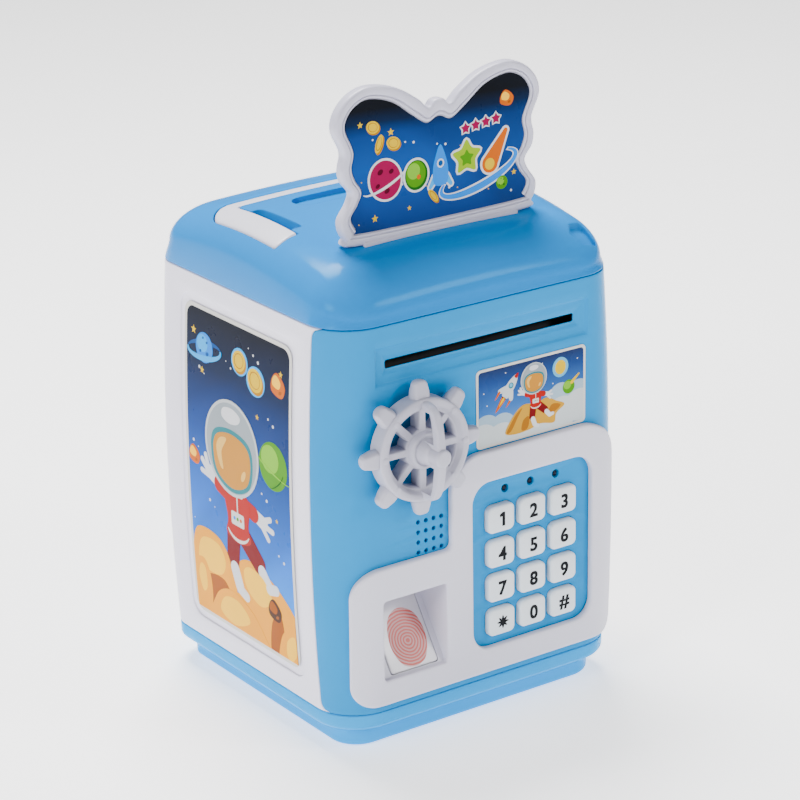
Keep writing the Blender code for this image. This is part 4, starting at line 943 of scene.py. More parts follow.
def build_fascia():
    outline = rounded([
        (-60.3, 19.6, 9.5), (60.3, 19.6, 7.0), (60.3, 108.9, 16.0), (-17.0, 108.9, 13.0),
        (-17.0, 74.4, 2.6), (-60.3, 74.4, 11.0)], 16)
    edge = 1.15
    levels = [(0.32, 0.0)] + [(FASCIA_T - edge * (1.0 - s), edge * (1.0 - c)) for c, s in quarter(6)]
    bm = bmesh.new()
    stack(bm, "Y", [(-w, inset(outline, d)) for w, d in levels])
    wrap_front(bm)
    fascia = plain_object("front_frame", bm)
    tub = bmesh.new()
    x0, x1 = TUB_X
    z0, z1 = TUB_Z
    high = TUB_LOW_Y + TUB_SLOPE * (z1 - z0)
    side = [(FACE - 1.2, z0 - 1.3), (FACE - 1.2, z1 + 1.3), (high + 2.0, z1 + 1.3),
            (high + 2.0, z1 - 0.8), (TUB_LOW_Y + 2.0, z0 - 1.3)]
    prism(tub, "X", side, x0 - 1.3, x1 + 1.3)
    join(fascia, tub)
    top = FACE - FASCIA_T
    mouth = 0.9
    hole = bmesh.new()
    rings = [tub_ring(0.0)]
    rings += [tub_ring(0.0, TUB_LOW_Y - 0.35)]
    rings += [tub_ring(mouth * (1.0 - c), top + mouth * (1.0 - s)) for c, s in quarter(5)]
    rings += [tub_ring(mouth + 0.05, top - 0.03), tub_ring(mouth + 0.05, top - 3.0)]
    loft(hole, rings)
    cut(fascia, hole)
    window = bmesh.new()
    frame_ring = rect(-7.4, 48.6, 29.7, 96.7, 8.0, 12)
    lip = 0.9
    levels = [(FACE + 2.0, 0.0), (top + lip, 0.0)]
    levels += [(top + lip * (1.0 - s), -lip * (1.0 - c)) for c, s in quarter(5)][1:]
    levels += [(top - 0.03, -lip - 0.05), (top - 3.0, -lip - 0.05)]
    stack(window, "Y", [(y, inset(frame_ring, d)) for y, d in levels])
    cut(fascia, window)
    pad = bmesh.new()
    tilted(pad, rect(-10.9, 10.9, -14.0, 14.0, 1.2, 5), [(0.0, -4.0), (0.0, 4.0)])
    cut(fascia, pad)
    finished(fascia, MATERIALS["fascia"], "door", ["fascia"], 35.0)


def tilted(bm, outline, levels):
    """Loft on the recess's sloping floor: levels are (inset, height above the floor)."""
    layer = bmesh.new()
    rings = []
    for d, n in levels:
        ring = inset(outline, d) if d else outline
        rings.append([tuple(PAD_MID + Vector((a, 0, 0)) + PAD_UP * b + PAD_OUT * n) for a, b in ring])
    loft(layer, rings)
    merge(bm, layer)


# ---- keys ---------------------------------------------------------------------------------------------
KEY_R = 2.4            # corner radius of a cap
KEY_LIP = 0.8          # how far the flange behind the door stands out, and its thickness
KEY_EDGE = 1.0         # rounding of the cap's front edge
KEY_DISH = 0.22        # how much the middle of a cap stands forward
MARK_SIZE = 7.4
MARK_HALF_T = 0.13
STRIKES = ((-0.17, -0.12), (0.17, -0.12), (-0.17, 0.12), (0.17, 0.12))


def build_keys():
    front = node_box("key_1")[0].y
    shoulder = FACE + WALL + GAP
    a = KEY_W / 2.0
    b = KEY_H / 2.0
    for name, middle in key_centres().items():
        bm = bmesh.new()
        cx, cz = middle.x, middle.z
        cap = rect(cx - a, cx + a, cz - b, cz + b, KEY_R, 8)
        flange = rect(cx - a - KEY_LIP, cx + a + KEY_LIP, cz - b - KEY_LIP, cz + b + KEY_LIP, KEY_R, 8)
        layers = [(shoulder + KEY_LIP, flange), (shoulder, flange), (shoulder, cap)]
        layers += [(front + KEY_DISH + KEY_EDGE * (1.0 - s), inset(cap, KEY_EDGE * (1.0 - c)))
                   for c, s in quarter(6)]
        for k in (0.75, 0.5, 0.25, 0.06):
            ring = [(cx + (x - cx) * k, cz + (z - cz) * k) for x, z in inset(cap, KEY_EDGE)]
            layers.append((front + KEY_DISH * k * k, ring))
        stack(bm, "Y", layers)
        key = plain_object("keycap_" + name, bm)
        finished(key, MATERIALS["key"], "press_" + name, ["key_" + name], 50.0)
        print_mark(name, middle, front)


def glyph(name):
    """Flat mesh of a key's mark: a digit, a hash or an eight-pointed star."""
    bm = bmesh.new()
    if name == "star":
        return prism(bm, "Z", star(0.0, 0.0, 2.6, 8), -MARK_HALF_T, MARK_HALF_T)
    if name == "1":
        outline = [(-0.5, -2.65), (0.5, -2.65), (0.5, 2.65), (-0.3, 2.65), (-1.6, 1.9), (-1.6, 1.0),
                   (-0.5, 1.5)]
        return prism(bm, "Z", outline, -MARK_HALF_T, MARK_HALF_T)
    curve = bpy.data.curves.new("mark", "FONT")
    curve.body = "#" if name == "hash" else name
    curve.size = MARK_SIZE
    curve.align_x = "CENTER"
    curve.align_y = "CENTER"
    curve.offset = 0.12
    curve.extrude = MARK_HALF_T
    curve.resolution_u = 8
    text = bpy.data.objects.new("mark", curve)
    bpy.context.scene.collection.objects.link(text)
    graph = bpy.context.evaluated_depsgraph_get()
    graph.update()
    mesh = bpy.data.meshes.new_from_object(text.evaluated_get(graph))
    bpy.data.objects.remove(text, do_unlink=True)
    bm.from_mesh(mesh)
    bpy.data.meshes.remove(mesh)
    return bm


def print_mark(name, middle, front):
    """Printed mark on a key: thin raised ink, made bold by four shifted strikes."""
    bm = glyph(name)
    xs = [v.co.x for v in bm.verts]
    ys = [v.co.y for v in bm.verts]
    mid = Vector(((min(xs) + max(xs)) / 2.0, (min(ys) + max(ys)) / 2.0, 0.0))
    bold = bmesh.new()
    for k, (dx, dz) in enumerate(STRIKES):
        strike = bm.copy()
        for v in strike.verts:
            p = v.co - mid
            depth = front + 0.12 + 0.012 * k - p.z
            v.co = Vector((middle.x + 0.1 + dx + p.x, depth, middle.z - 0.1 + dz + p.y))
        merge(bold, strike)
    bm.free()
    mark = plain_object("key_mark_" + name, bold)
    finished(mark, MATERIALS["ink"], "press_" + name)


# ---- wheel ----------------------------------------------------------------------------------------------
RING_R = 19.6
RING_FRONT = -71.0
GRIP_FOOT = -69.0
GRIP_R = 18.6          # half of the grip's length along the wheel
GRIP_RISE = 12.2       # how far the grip stands forward at its middle
GRIP_BAR = 3.1         # thickness of the grip that arches over the spokes
PEG_Y = -67.1
SPOKES = 8


def wheel_profile():
    """(y, radius) pairs from the back of the rim over the front and up the boss."""
    back = RING_FRONT + 7.6
    rim = [(-62.2, 5.6), (back, 5.7)]
    rim += [(back - 0.6 * (1.0 - c), RING_R - 0.6 * (1.0 - s)) for c, s in quarter(4)]
    rim += [(RING_FRONT + 1.1 * (1.0 - s), RING_R - 1.1 * (1.0 - c)) for c, s in quarter(6)]
    rim += [(RING_FRONT, 17.0), (RING_FRONT + 0.25, 16.5), (-69.4, 15.5), (-69.1, 15.1)]
    hub = [(-69.1, 7.5), (-69.3, 7.1), (-71.3, 6.8), (-71.8, 6.5), (-72.0, 6.0), (-72.0, 5.6),
           (-71.7, 5.3), (-71.8, 4.9), (-73.4, 4.6), (-75.2, 4.2), (-76.3, 3.7), (-76.6, 3.35)]
    tip = [(-82.3 + 1.0 * (1.0 - s), 3.3 - 1.0 * (1.0 - c)) for c, s in quarter(5)]
    return rim + hub + tip


def peg():
    """One spoke handle along +Z: a tapering round stub with a flattened front."""
    bm = bmesh.new()
    profile = [(13.8, 2.3), (16.0, 2.7), (18.0, 3.7), (20.0, 3.75), (21.6, 3.6), (23.0, 3.25)]
    profile += [(23.6 + 2.2 * s, 3.05 - 2.2 * (1.0 - c)) for c, s in quarter(7)]
    return stack(bm, "Z", [(d, [(x, PEG_Y + max(y, -0.72 * r)) for x, y in circle(0.0, 0.0, r, 36, 0.01)])
                           for d, r in profile])


def build_wheel():
    cx, cz = WHEEL_AT
    bm = bmesh.new()
    turned(bm, "Y", WHEEL_AT, wheel_profile(), 96)
    wheel = plain_object("wheel_moulding", bm)
    for k in range(SPOKES):
        one = peg()
        turn = Matrix.Rotation(k * pi / 4, 3, "Y")
        bmesh.ops.rotate(one, verts=one.verts, cent=(0, 0, 0), matrix=turn)
        bmesh.ops.translate(one, verts=one.verts, vec=(cx, 0.0, cz))
        join(wheel, one)
    windows = bmesh.new()
    for k in range(SPOKES):
        mid = (k + 0.5) * pi / 4
        layers = []
        for y, grow in ((-78.0, 0.3), (-69.0, 0.3), (-68.8, 0.1), (-68.5, 0.0), (-60.0, 0.0)):
            ring = []
            outer = (14.7 + grow, 0.30 + grow / 15.0, 1.0)
            inner = (7.7 - grow, 0.20 + grow / 10.0, -1.0)
            for r, half, sign in (outer, inner):
                for j in range(9):
                    a = mid + sign * half * (j / 4.0 - 1.0)
                    ring.append((cx + r * cos(a), cz + r * sin(a)))
            layers.append((y, ring))
        stack(windows, "Y", layers)
    cut(wheel, windows)
    grip = plain_object("grip", grip_bar(cx, cz))
    gaps = bmesh.new()
    for side in (-1.0, 1.0):
        arch = [(-60.0, cz + side * 15.7), (-60.0, cz + side * 4.5)]
        for i in range(17):
            reach = 4.5 + 0.7 * i
            rise = (GRIP_RISE - GRIP_BAR) * (1.0 - (reach / GRIP_R) ** 2) ** 0.25
            arch.append((GRIP_FOOT - rise, cz + side * reach))
        prism(gaps, "X", arch, cx - 6.0, cx + 6.0)
    cut(grip, gaps)
    combine(wheel, grip, "UNION")
    weld(wheel)
    shaft = bmesh.new()
    turned(shaft, "Y", WHEEL_AT, [(-66.0, 3.5), (-46.0, 3.5), (-45.6, 3.1)], 48)
    join(wheel, shaft)
    tip = bmesh.new()
    box(tip, cx - 2.0, cx + 2.0, -47.0, -42.3, cz - 2.0, cz + 2.0)
    join(wheel, tip)
    bumps = bmesh.new()
    for k in (1, 2, 3, 5, 6, 7):
        a = k * pi / 4
        at = (cx + 17.6 * sin(a), cz + 17.6 * cos(a))
        turned(bumps, "Y", at, [(-69.0, 1.25), (RING_FRONT - 0.05, 1.25), (RING_FRONT - 0.2, 1.0),
                                (RING_FRONT - 0.25, 0.5)], 24)
    join(wheel, bumps)
    finished(wheel, MATERIALS["wheel"], "wheel", ["wheel_knob"], 38.0)


def grip_bar(cx, cz):
    """D-shaped plate across the wheel's front, softly rounded along its arched edge."""
    count = 40
    bar = bmesh.new()
    layers = []
    for k, grow in ((-1.75, -0.8), (-1.62, -0.4), (-1.33, -0.12), (-0.95, 0.0), (0.95, 0.0),
                    (1.33, -0.12), (1.62, -0.4), (1.75, -0.8)):
        ring = [(-68.3, cz + GRIP_R + grow), (-68.3, cz - GRIP_R - grow)]
        for i in range(1, count):
            a = pi * (1.0 - i / count)
            z = (GRIP_R + grow) * cos(a)
            ring.append((GRIP_FOOT - (GRIP_RISE + grow) * sin(a) ** 0.5, cz + z))
        layers.append((cx + k, ring))
    return stack(bar, "X", layers)


# ---- printed art ----------------------------------------------------------------------------------------
INK_ROUGH = 0.28


def gradient_ink(name, stops, span, sweep, slant=0.0):
    """Printed gradient up Z, with broad curved sweeps of lighter and darker tone."""
    mat = bpy.data.materials.new(name)
    mat.use_nodes = True
    tree = mat.node_tree
    shader = tree.nodes["Principled BSDF"]
    coords = tree.nodes.new("ShaderNodeTexCoord")
    split = tree.nodes.new("ShaderNodeSeparateXYZ")
    tree.links.new(coords.outputs["Object"], split.inputs["Vector"])
    across = tree.nodes.new("ShaderNodeMath")
    across.operation = "MULTIPLY_ADD"
    tree.links.new(split.outputs["X"], across.inputs[0])
    across.inputs[1].default_value = slant
    tree.links.new(split.outputs["Z"], across.inputs[2])
    place_on = node(tree, "ShaderNodeMapRange", From_Min=span[0] * MM, From_Max=span[1] * MM)
    tree.links.new(across.outputs["Value"], place_on.inputs["Value"])
    ramp = tree.nodes.new("ShaderNodeValToRGB")
    points = ramp.color_ramp.elements
    while len(points) < len(stops):
        points.new(0.5)
    for point, (at, colour) in zip(points, stops):
        point.position = at
        point.color = (*colour, 1.0)
    tree.links.new(place_on.outputs["Result"], ramp.inputs["Fac"])
    wave = node(tree, "ShaderNodeTexWave", Scale=6.0, Distortion=5.0, Detail=1.0)
    wave.inputs["Detail Scale"].default_value = 0.6
    wave.bands_direction = "DIAGONAL"
    tree.links.new(coords.outputs["Object"], wave.inputs["Vector"])
    tone = node(tree, "ShaderNodeMapRange", From_Min=0.35, From_Max=0.65, To_Min=1.0 - sweep,
                To_Max=1.0 + sweep)
    tree.links.new(wave.outputs["Fac"], tone.inputs["Value"])
    mix = tree.nodes.new("ShaderNodeVectorMath")
    mix.operation = "SCALE"
    tree.links.new(ramp.outputs["Color"], mix.inputs[0])
    tree.links.new(tone.outputs["Result"], mix.inputs["Scale"])
    tree.links.new(mix.outputs["Vector"], shader.inputs["Base Color"])
    shader.inputs["Specular IOR Level"].default_value = 0.05
    patch = object_noise(tree, 120.0, 4.0)
    spread = node(tree, "ShaderNodeMapRange", To_Min=INK_ROUGH * 0.85, To_Max=INK_ROUGH * 1.2)
    tree.links.new(patch.outputs["Fac"], spread.inputs["Value"])
    tree.links.new(spread.outputs["Result"], shader.inputs["Roughness"])
    return mat


def ink(name, colour):
    return plastic("ink_" + name, colour, 0.3, 0.05, 0.02, 1400.0, shine=(0.3, 0.3, 0.3), gloss=0.05)


INK_COLOURS = {
    "cream": (0.6, 0.59, 0.56),
    "white": (0.6, 0.61, 0.64),
    "glass": (0.26, 0.3, 0.33),
    "glass_rim": (0.44, 0.47, 0.49),
    "visor": (0.5, 0.21, 0.022),
    "visor_light": (0.7, 0.42, 0.1),
    "teal": (0.012, 0.17, 0.2),
    "red": (0.36, 0.01, 0.008),
    "dark_red": (0.15, 0.004, 0.006),
    "orange": (0.52, 0.1, 0.003),
    "rock": (0.8, 0.31, 0.004),
    "rock_light": (0.92, 0.5, 0.02),
    "rock_dark": (0.3, 0.07, 0.002),
    "brown": (0.05, 0.02, 0.012),
    "green": (0.06, 0.24, 0.004),
    "green_light": (0.18, 0.44, 0.02),
    "green_dark": (0.008, 0.09, 0.006),
    "lime": (0.26, 0.42, 0.004),
    "cyan": (0.0, 0.2, 0.7),
    "cyan_light": (0.012, 0.34, 0.78),
    "cyan_dark": (0.0, 0.06, 0.25),
    "yellow": (0.66, 0.42, 0.002),
    "yellow_dark": (0.38, 0.17, 0.001),
    "pink": (0.26, 0.003, 0.055),
    "pink_dark": (0.07, 0.001, 0.012),
    "cloud": (0.5, 0.545, 0.56),
    "cloud_far": (0.3, 0.42, 0.52),
    "glow": (0.1, 0.38, 0.6),
    "sand": (0.52, 0.27, 0.02),
    "sand_dark": (0.33, 0.12, 0.006),
}
INKS = {name: ink(name, colour) for name, colour in INK_COLOURS.items()}

NIGHT_STOPS = ((0.0, (0.01, 0.27, 0.88)), (0.35, (0.002, 0.12, 0.55)), (0.62, (0.001, 0.035, 0.20)),
               (0.82, (0.0, 0.009, 0.045)), (1.0, (0.001, 0.002, 0.008)))
SIGN_STOPS = ((0.0, (0.0, 0.028, 0.15)), (0.45, (0.0, 0.05, 0.24)), (0.70, (0.0, 0.03, 0.15)),
              (0.80, (0.0, 0.008, 0.035)), (0.90, (0.001, 0.002, 0.005)))
SKY_STOPS = ((0.0, (0.12, 0.28, 0.54)), (0.45, (0.03, 0.13, 0.40)), (0.8, (0.01, 0.045, 0.19)),
             (1.0, (0.01, 0.018, 0.06)))

INKS["night"] = gradient_ink("ink_night", NIGHT_STOPS, (SIDE_BOX[0].z, SIDE_BOX[1].z), 0.12)
INKS["sign_night"] = gradient_ink("ink_sign_night", SIGN_STOPS, (192.0, 241.0), 0.16, slant=0.03)
INKS["sky"] = gradient_ink("ink_sky", SKY_STOPS, (LABEL_BOX[0].z, LABEL_BOX[1].z), 0.04)


def ellipse(u, v, ru, rv, tilt=0.0, count=40):
    """Ellipse tilted by an angle in degrees."""
    t = radians(tilt)
    pts = circle(0.0, 0.0, 1.0, count)
    return [(u + a * ru * cos(t) - b * rv * sin(t), v + a * ru * sin(t) + b * rv * cos(t)) for a, b in pts]


def star(u, v, r, points=5, inner=0.45):
    out = []
    for k in range(2 * points):
        a = 0.5 * pi + k * pi / points
        reach = r if k % 2 == 0 else r * inner
        out.append((u + reach * cos(a), v + reach * sin(a)))
    return out


def stroke(u0, v0, r0, u1, v1, r1, count=10):
    """Tapered stroke with round ends."""
    a = atan2(v1 - v0, u1 - u0)
    out = [(u0 + r0 * cos(a + 0.5 * pi + pi * k / count), v0 + r0 * sin(a + 0.5 * pi + pi * k / count))
           for k in range(count + 1)]
    return out + [(u1 + r1 * cos(a - 0.5 * pi + pi * k / count), v1 + r1 * sin(a - 0.5 * pi + pi * k / count))
                  for k in range(count + 1)]


def orbit(u, v, ru, rv, tilt, width, a0, a1, count=36):
    """Part of an elliptical band between two angles in degrees, tapering to its ends."""
    t = radians(tilt)
    outer = []
    inner = []
    for k in range(count + 1):
        a = radians(a0 + (a1 - a0) * k / count)
        half = width * (0.35 + 0.65 * sin(pi * k / count)) / 2.0
        for side, row in ((half, outer), (-half, inner)):
            x = (ru + side) * cos(a)
            y = (rv + side) * sin(a)
            row.append((u + x * cos(t) - y * sin(t), v + x * sin(t) + y * cos(t)))
    return outer + inner[::-1]


class Print:
    """A printed picture: thin closed shapes stacked on a label, in the label's own plane."""

    def __init__(self, step=0.028):
        self.bm = bmesh.new()
        self.names = []
        self.step = step
        self.base = 0.0
        self.count = 0

    def slot(self, name):
        if name not in self.names:
            self.names.append(name)
        return self.names.index(name)

    def shape(self, level, name, outline, clip=None):
        """One closed shape: level counts how high it lies; clip keeps it inside a rectangle."""
        layer = bmesh.new()
        self.count += 1
        top = self.base + (level + 0.1 * (self.count % 9)) * self.step
        prism(layer, "Z", outline, -0.02, top)
        bmesh.ops.recalc_face_normals(layer, faces=layer.faces)
        if clip:
            trim(layer, clip)
        bmesh.ops.triangulate(layer, faces=[f for f in layer.faces if len(f.verts) > 4])
        index = self.slot(name)
        for face in layer.faces:
            face.material_index = index
        merge(self.bm, layer)

    def materials(self):
        return [INKS[n] for n in self.names]


def trim(bm, clip):
    """Cut a thin prism back to a rectangle and close the cuts."""
    u0, u1, v0, v1 = clip
    for at, normal in (((u0, 0, 0), (-1, 0, 0)), ((u1, 0, 0), (1, 0, 0)), ((0, v0, 0), (0, -1, 0)),
                       ((0, v1, 0), (0, 1, 0))):
        geom = list(bm.verts) + list(bm.edges) + list(bm.faces)
        done = bmesh.ops.bisect_plane(bm, geom=geom, dist=1e-6, plane_co=at, plane_no=normal,
                                      clear_outer=True)
        rim = [e for e in done["geom_cut"] if isinstance(e, bmesh.types.BMEdge) and e.is_boundary]
        if rim:
            bmesh.ops.holes_fill(bm, edges=rim, sides=0)


def planet(art, level, u, v, r, body, light, dark=None):
    """Round planet with a lit side and a few craters."""
    art.shape(level, body, ellipse(u, v, r, r))
    art.shape(level + 1, light, ellipse(u - 0.22 * r, v + 0.25 * r, 0.62 * r, 0.58 * r))
    if dark:
        for du, dv, k in ((0.35, -0.35, 0.17), (-0.45, -0.30, 0.12), (0.30, 0.40, 0.11),
                          (-0.15, 0.62, 0.10)):
            art.shape(level + 2, dark, ellipse(u + du * r, v + dv * r, k * r, k * r * 0.8, 20.0, 16))


def boulder(art, level, u, v, r, names=("orange", "rock_light", "rock_dark")):
    """Faceted floating rock."""
    lumps = (1.0, 0.86, 1.05, 0.92, 1.0, 0.84, 1.02)
    pts = [(u + r * k * cos(2.0 * pi * i / 7.0), v + r * k * sin(2.0 * pi * i / 7.0))
           for i, k in enumerate(lumps)]
    art.shape(level, names[0], smooth(pts, 4))
    art.shape(level + 1, names[1], smooth([(u + (a - u) * 0.6 - 0.2 * r, v + (b - v) * 0.55 + 0.25 * r)
                                           for a, b in pts], 4))
    art.shape(level + 1, names[2], ellipse(u + 0.35 * r, v - 0.45 * r, 0.22 * r, 0.14 * r, 25.0, 16))


def coin(art, level, u, v, r, squash=1.0, tilt=0.0):
    art.shape(level, "yellow_dark", ellipse(u + 0.12 * r, v - 0.16 * r, r, r * squash, tilt))
    art.shape(level + 1, "yellow", ellipse(u, v, r * 0.96, r * squash * 0.94, tilt))
    art.shape(level + 2, "yellow_dark", orbit(u, v, r * 0.66, r * squash * 0.66, tilt, r * 0.10, 0.0, 359.0))


def spark(art, level, u, v, r):
    art.shape(level, "yellow", star(u, v, r))


def explorer(art, level, u, v, k):
    """Suited explorer with a closed gold visor; u, v is the belt, k the scale."""
    def part(lift, name, pts):
        art.shape(level + lift, name, [(u + a * k, v + b * k) for a, b in pts])

    part(0, "white", stroke(-6.0, 13.5, 2.4, -19.0, 19.0, 2.9))
    part(0, "white", stroke(6.5, 13.0, 2.4, 18.0, 9.5, 2.9))
    part(1, "white", stroke(-19.0, 18.0, 1.2, -24.0, 22.5, 1.2))
    part(1, "white", stroke(-19.5, 20.0, 1.2, -21.5, 25.0, 1.2))
    part(1, "white", stroke(-18.5, 17.0, 1.1, -24.5, 18.0, 1.1))
    part(1, "white", stroke(17.5, 10.5, 1.2, 22.5, 12.5, 1.2))
    part(1, "white", stroke(18.0, 9.0, 1.2, 24.0, 8.0, 1.2))
    part(1, "white", stroke(17.0, 8.0, 1.1, 21.0, 4.0, 1.1))
    part(1, "red", stroke(-5.0, 13.0, 3.0, -12.5, 15.8, 3.4))
    part(1, "red", stroke(5.0, 13.0, 3.0, 11.5, 11.2, 3.3))
    part(1, "dark_red", stroke(-3.5, -1.0, 4.6, -5.0, -13.0, 4.2))
    part(1, "dark_red", stroke(4.5, -1.0, 4.8, 13.5, -8.5, 4.4))
    part(2, "white", stroke(-4.0, -16.0, 3.0, -1.5, -22.5, 3.0))
    part(3, "white", stroke(-1.5, -23.5, 2.4, 3.0, -25.5, 2.2))
    part(2, "white", stroke(15.5, -11.0, 2.8, 19.5, -15.5, 2.7))
    part(3, "white", stroke(20.0, -16.5, 2.3, 24.5, -15.5, 2.1))
    part(2, "red", smooth([(-8.6, 14.5), (-7.0, 4.0), (-8.2, -2.0), (0.0, -4.6), (8.4, -2.0), (7.2, 4.0),
                           (8.4, 14.5), (0.0, 17.5)], 5))
    part(3, "cream", orbit(0.0, 2.5, 8.0, 6.0, 0.0, 1.4, 205.0, 335.0, 18))
    part(3, "cream", stroke(0.0, 4.0, 0.35, 0.0, 15.0, 0.35, 4))
    part(4, "cream", rect(-4.4, 4.4, 2.6, 8.0, 0.8, 4))
    part(5, "cyan", ellipse(-2.2, 5.4, 0.8, 0.8, 0.0, 12))
    part(5, "green", ellipse(0.0, 5.4, 0.8, 0.8, 0.0, 12))
    part(5, "orange", ellipse(2.2, 5.4, 0.8, 0.8, 0.0, 12))
    part(4, "cream", rect(-4.2, 4.2, 14.6, 17.0, 1.1, 4))
    part(5, "glass_rim", ellipse(-2.6, 33.0, 18.6, 19.0))
    part(6, "glass", ellipse(-2.6, 33.0, 17.4, 17.8))
    part(7, "teal", smooth([(-17.0, 30.5), (-14.0, 20.0), (-2.6, 15.6), (9.0, 20.0), (12.0, 30.5),
                            (9.0, 38.0),
                            (-2.6, 40.6), (-14.0, 38.0)], 6))
    part(8, "visor", smooth([(-15.4, 30.0), (-12.6, 21.0), (-2.6, 17.2), (7.6, 21.0), (10.4, 30.0),
                             (7.6, 36.4),
                             (-2.6, 38.8), (-12.6, 36.4)], 6))
    part(9, "visor_light", smooth([(-13.2, 31.0), (-11.0, 24.5), (-8.6, 23.5), (-9.6, 30.0), (-6.0, 36.0),
                                   (-10.6, 35.4)], 6))
    part(9, "visor_light", ellipse(5.4, 24.4, 1.2, 2.6, -30.0, 16))
    part(7, "white", smooth([(-9.0, 44.5), (-4.0, 42.8), (2.0, 44.0), (3.5, 47.0), (-2.0, 49.0),
                             (-8.0, 48.0)], 6))


def rocket(art, level, u, v, k, lean):
    """Rocket leaning by an angle in degrees, with flames below."""
    t = radians(lean)

    def part(lift, name, pts):
        art.shape(level + lift, name, [(u + k * (a * cos(t) - b * sin(t)), v + k * (a * sin(t) + b * cos(t)))
                                       for a, b in pts])

    part(0, "orange", smooth([(-1.2, -5.6), (0.0, -12.5), (1.2, -5.6), (0.0, -4.6)], 5))
    part(1, "yellow", smooth([(-0.6, -5.6), (0.0, -9.5), (0.6, -5.6), (0.0, -4.8)], 5))
    for side in (-1.0, 1.0):
        part(0, "orange", smooth([(side * 3.2, -4.2), (side * 3.7, -8.2), (side * 4.3, -4.2),
                                  (side * 3.7, -3.6)], 5))
        part(0, "cloud", smooth([(side * 1.6, 0.6), (side * 4.6, -3.0), (side * 4.3, -4.4),
                                 (side * 3.2, -4.4),
                                 (side * 1.4, -2.8)], 5))
    part(1, "dark_red", rect(-1.3, 1.3, -5.3, -4.0, 0.3, 3))
    part(2, "cloud", smooth([(-1.8, -4.2), (-2.3, 0.5), (-1.5, 4.6), (0.0, 7.0), (1.5, 4.6), (2.3, 0.5),
                             (1.8, -4.2),
                             (0.0, -4.6)], 6))
    part(3, "red", smooth([(-0.95, 5.4), (-0.6, 6.5), (0.0, 7.6), (0.6, 6.5), (0.95, 5.4), (0.0, 5.0)], 5))
    part(3, "teal", ellipse(0.0, 1.2, 1.35, 1.35, 0.0, 24))
    part(4, "glow", ellipse(-0.1, 1.3, 0.85, 0.85, 0.0, 24))


SIDE_MID = (SIDE_BOX[0].y + SIDE_BOX[1].y) / 2.0
SIDE_MID_Z = (SIDE_BOX[0].z + SIDE_BOX[1].z) / 2.0
SIDE_HALF = ((SIDE_BOX[1].y - SIDE_BOX[0].y) / 2.0, (SIDE_BOX[1].z - SIDE_BOX[0].z) / 2.0)


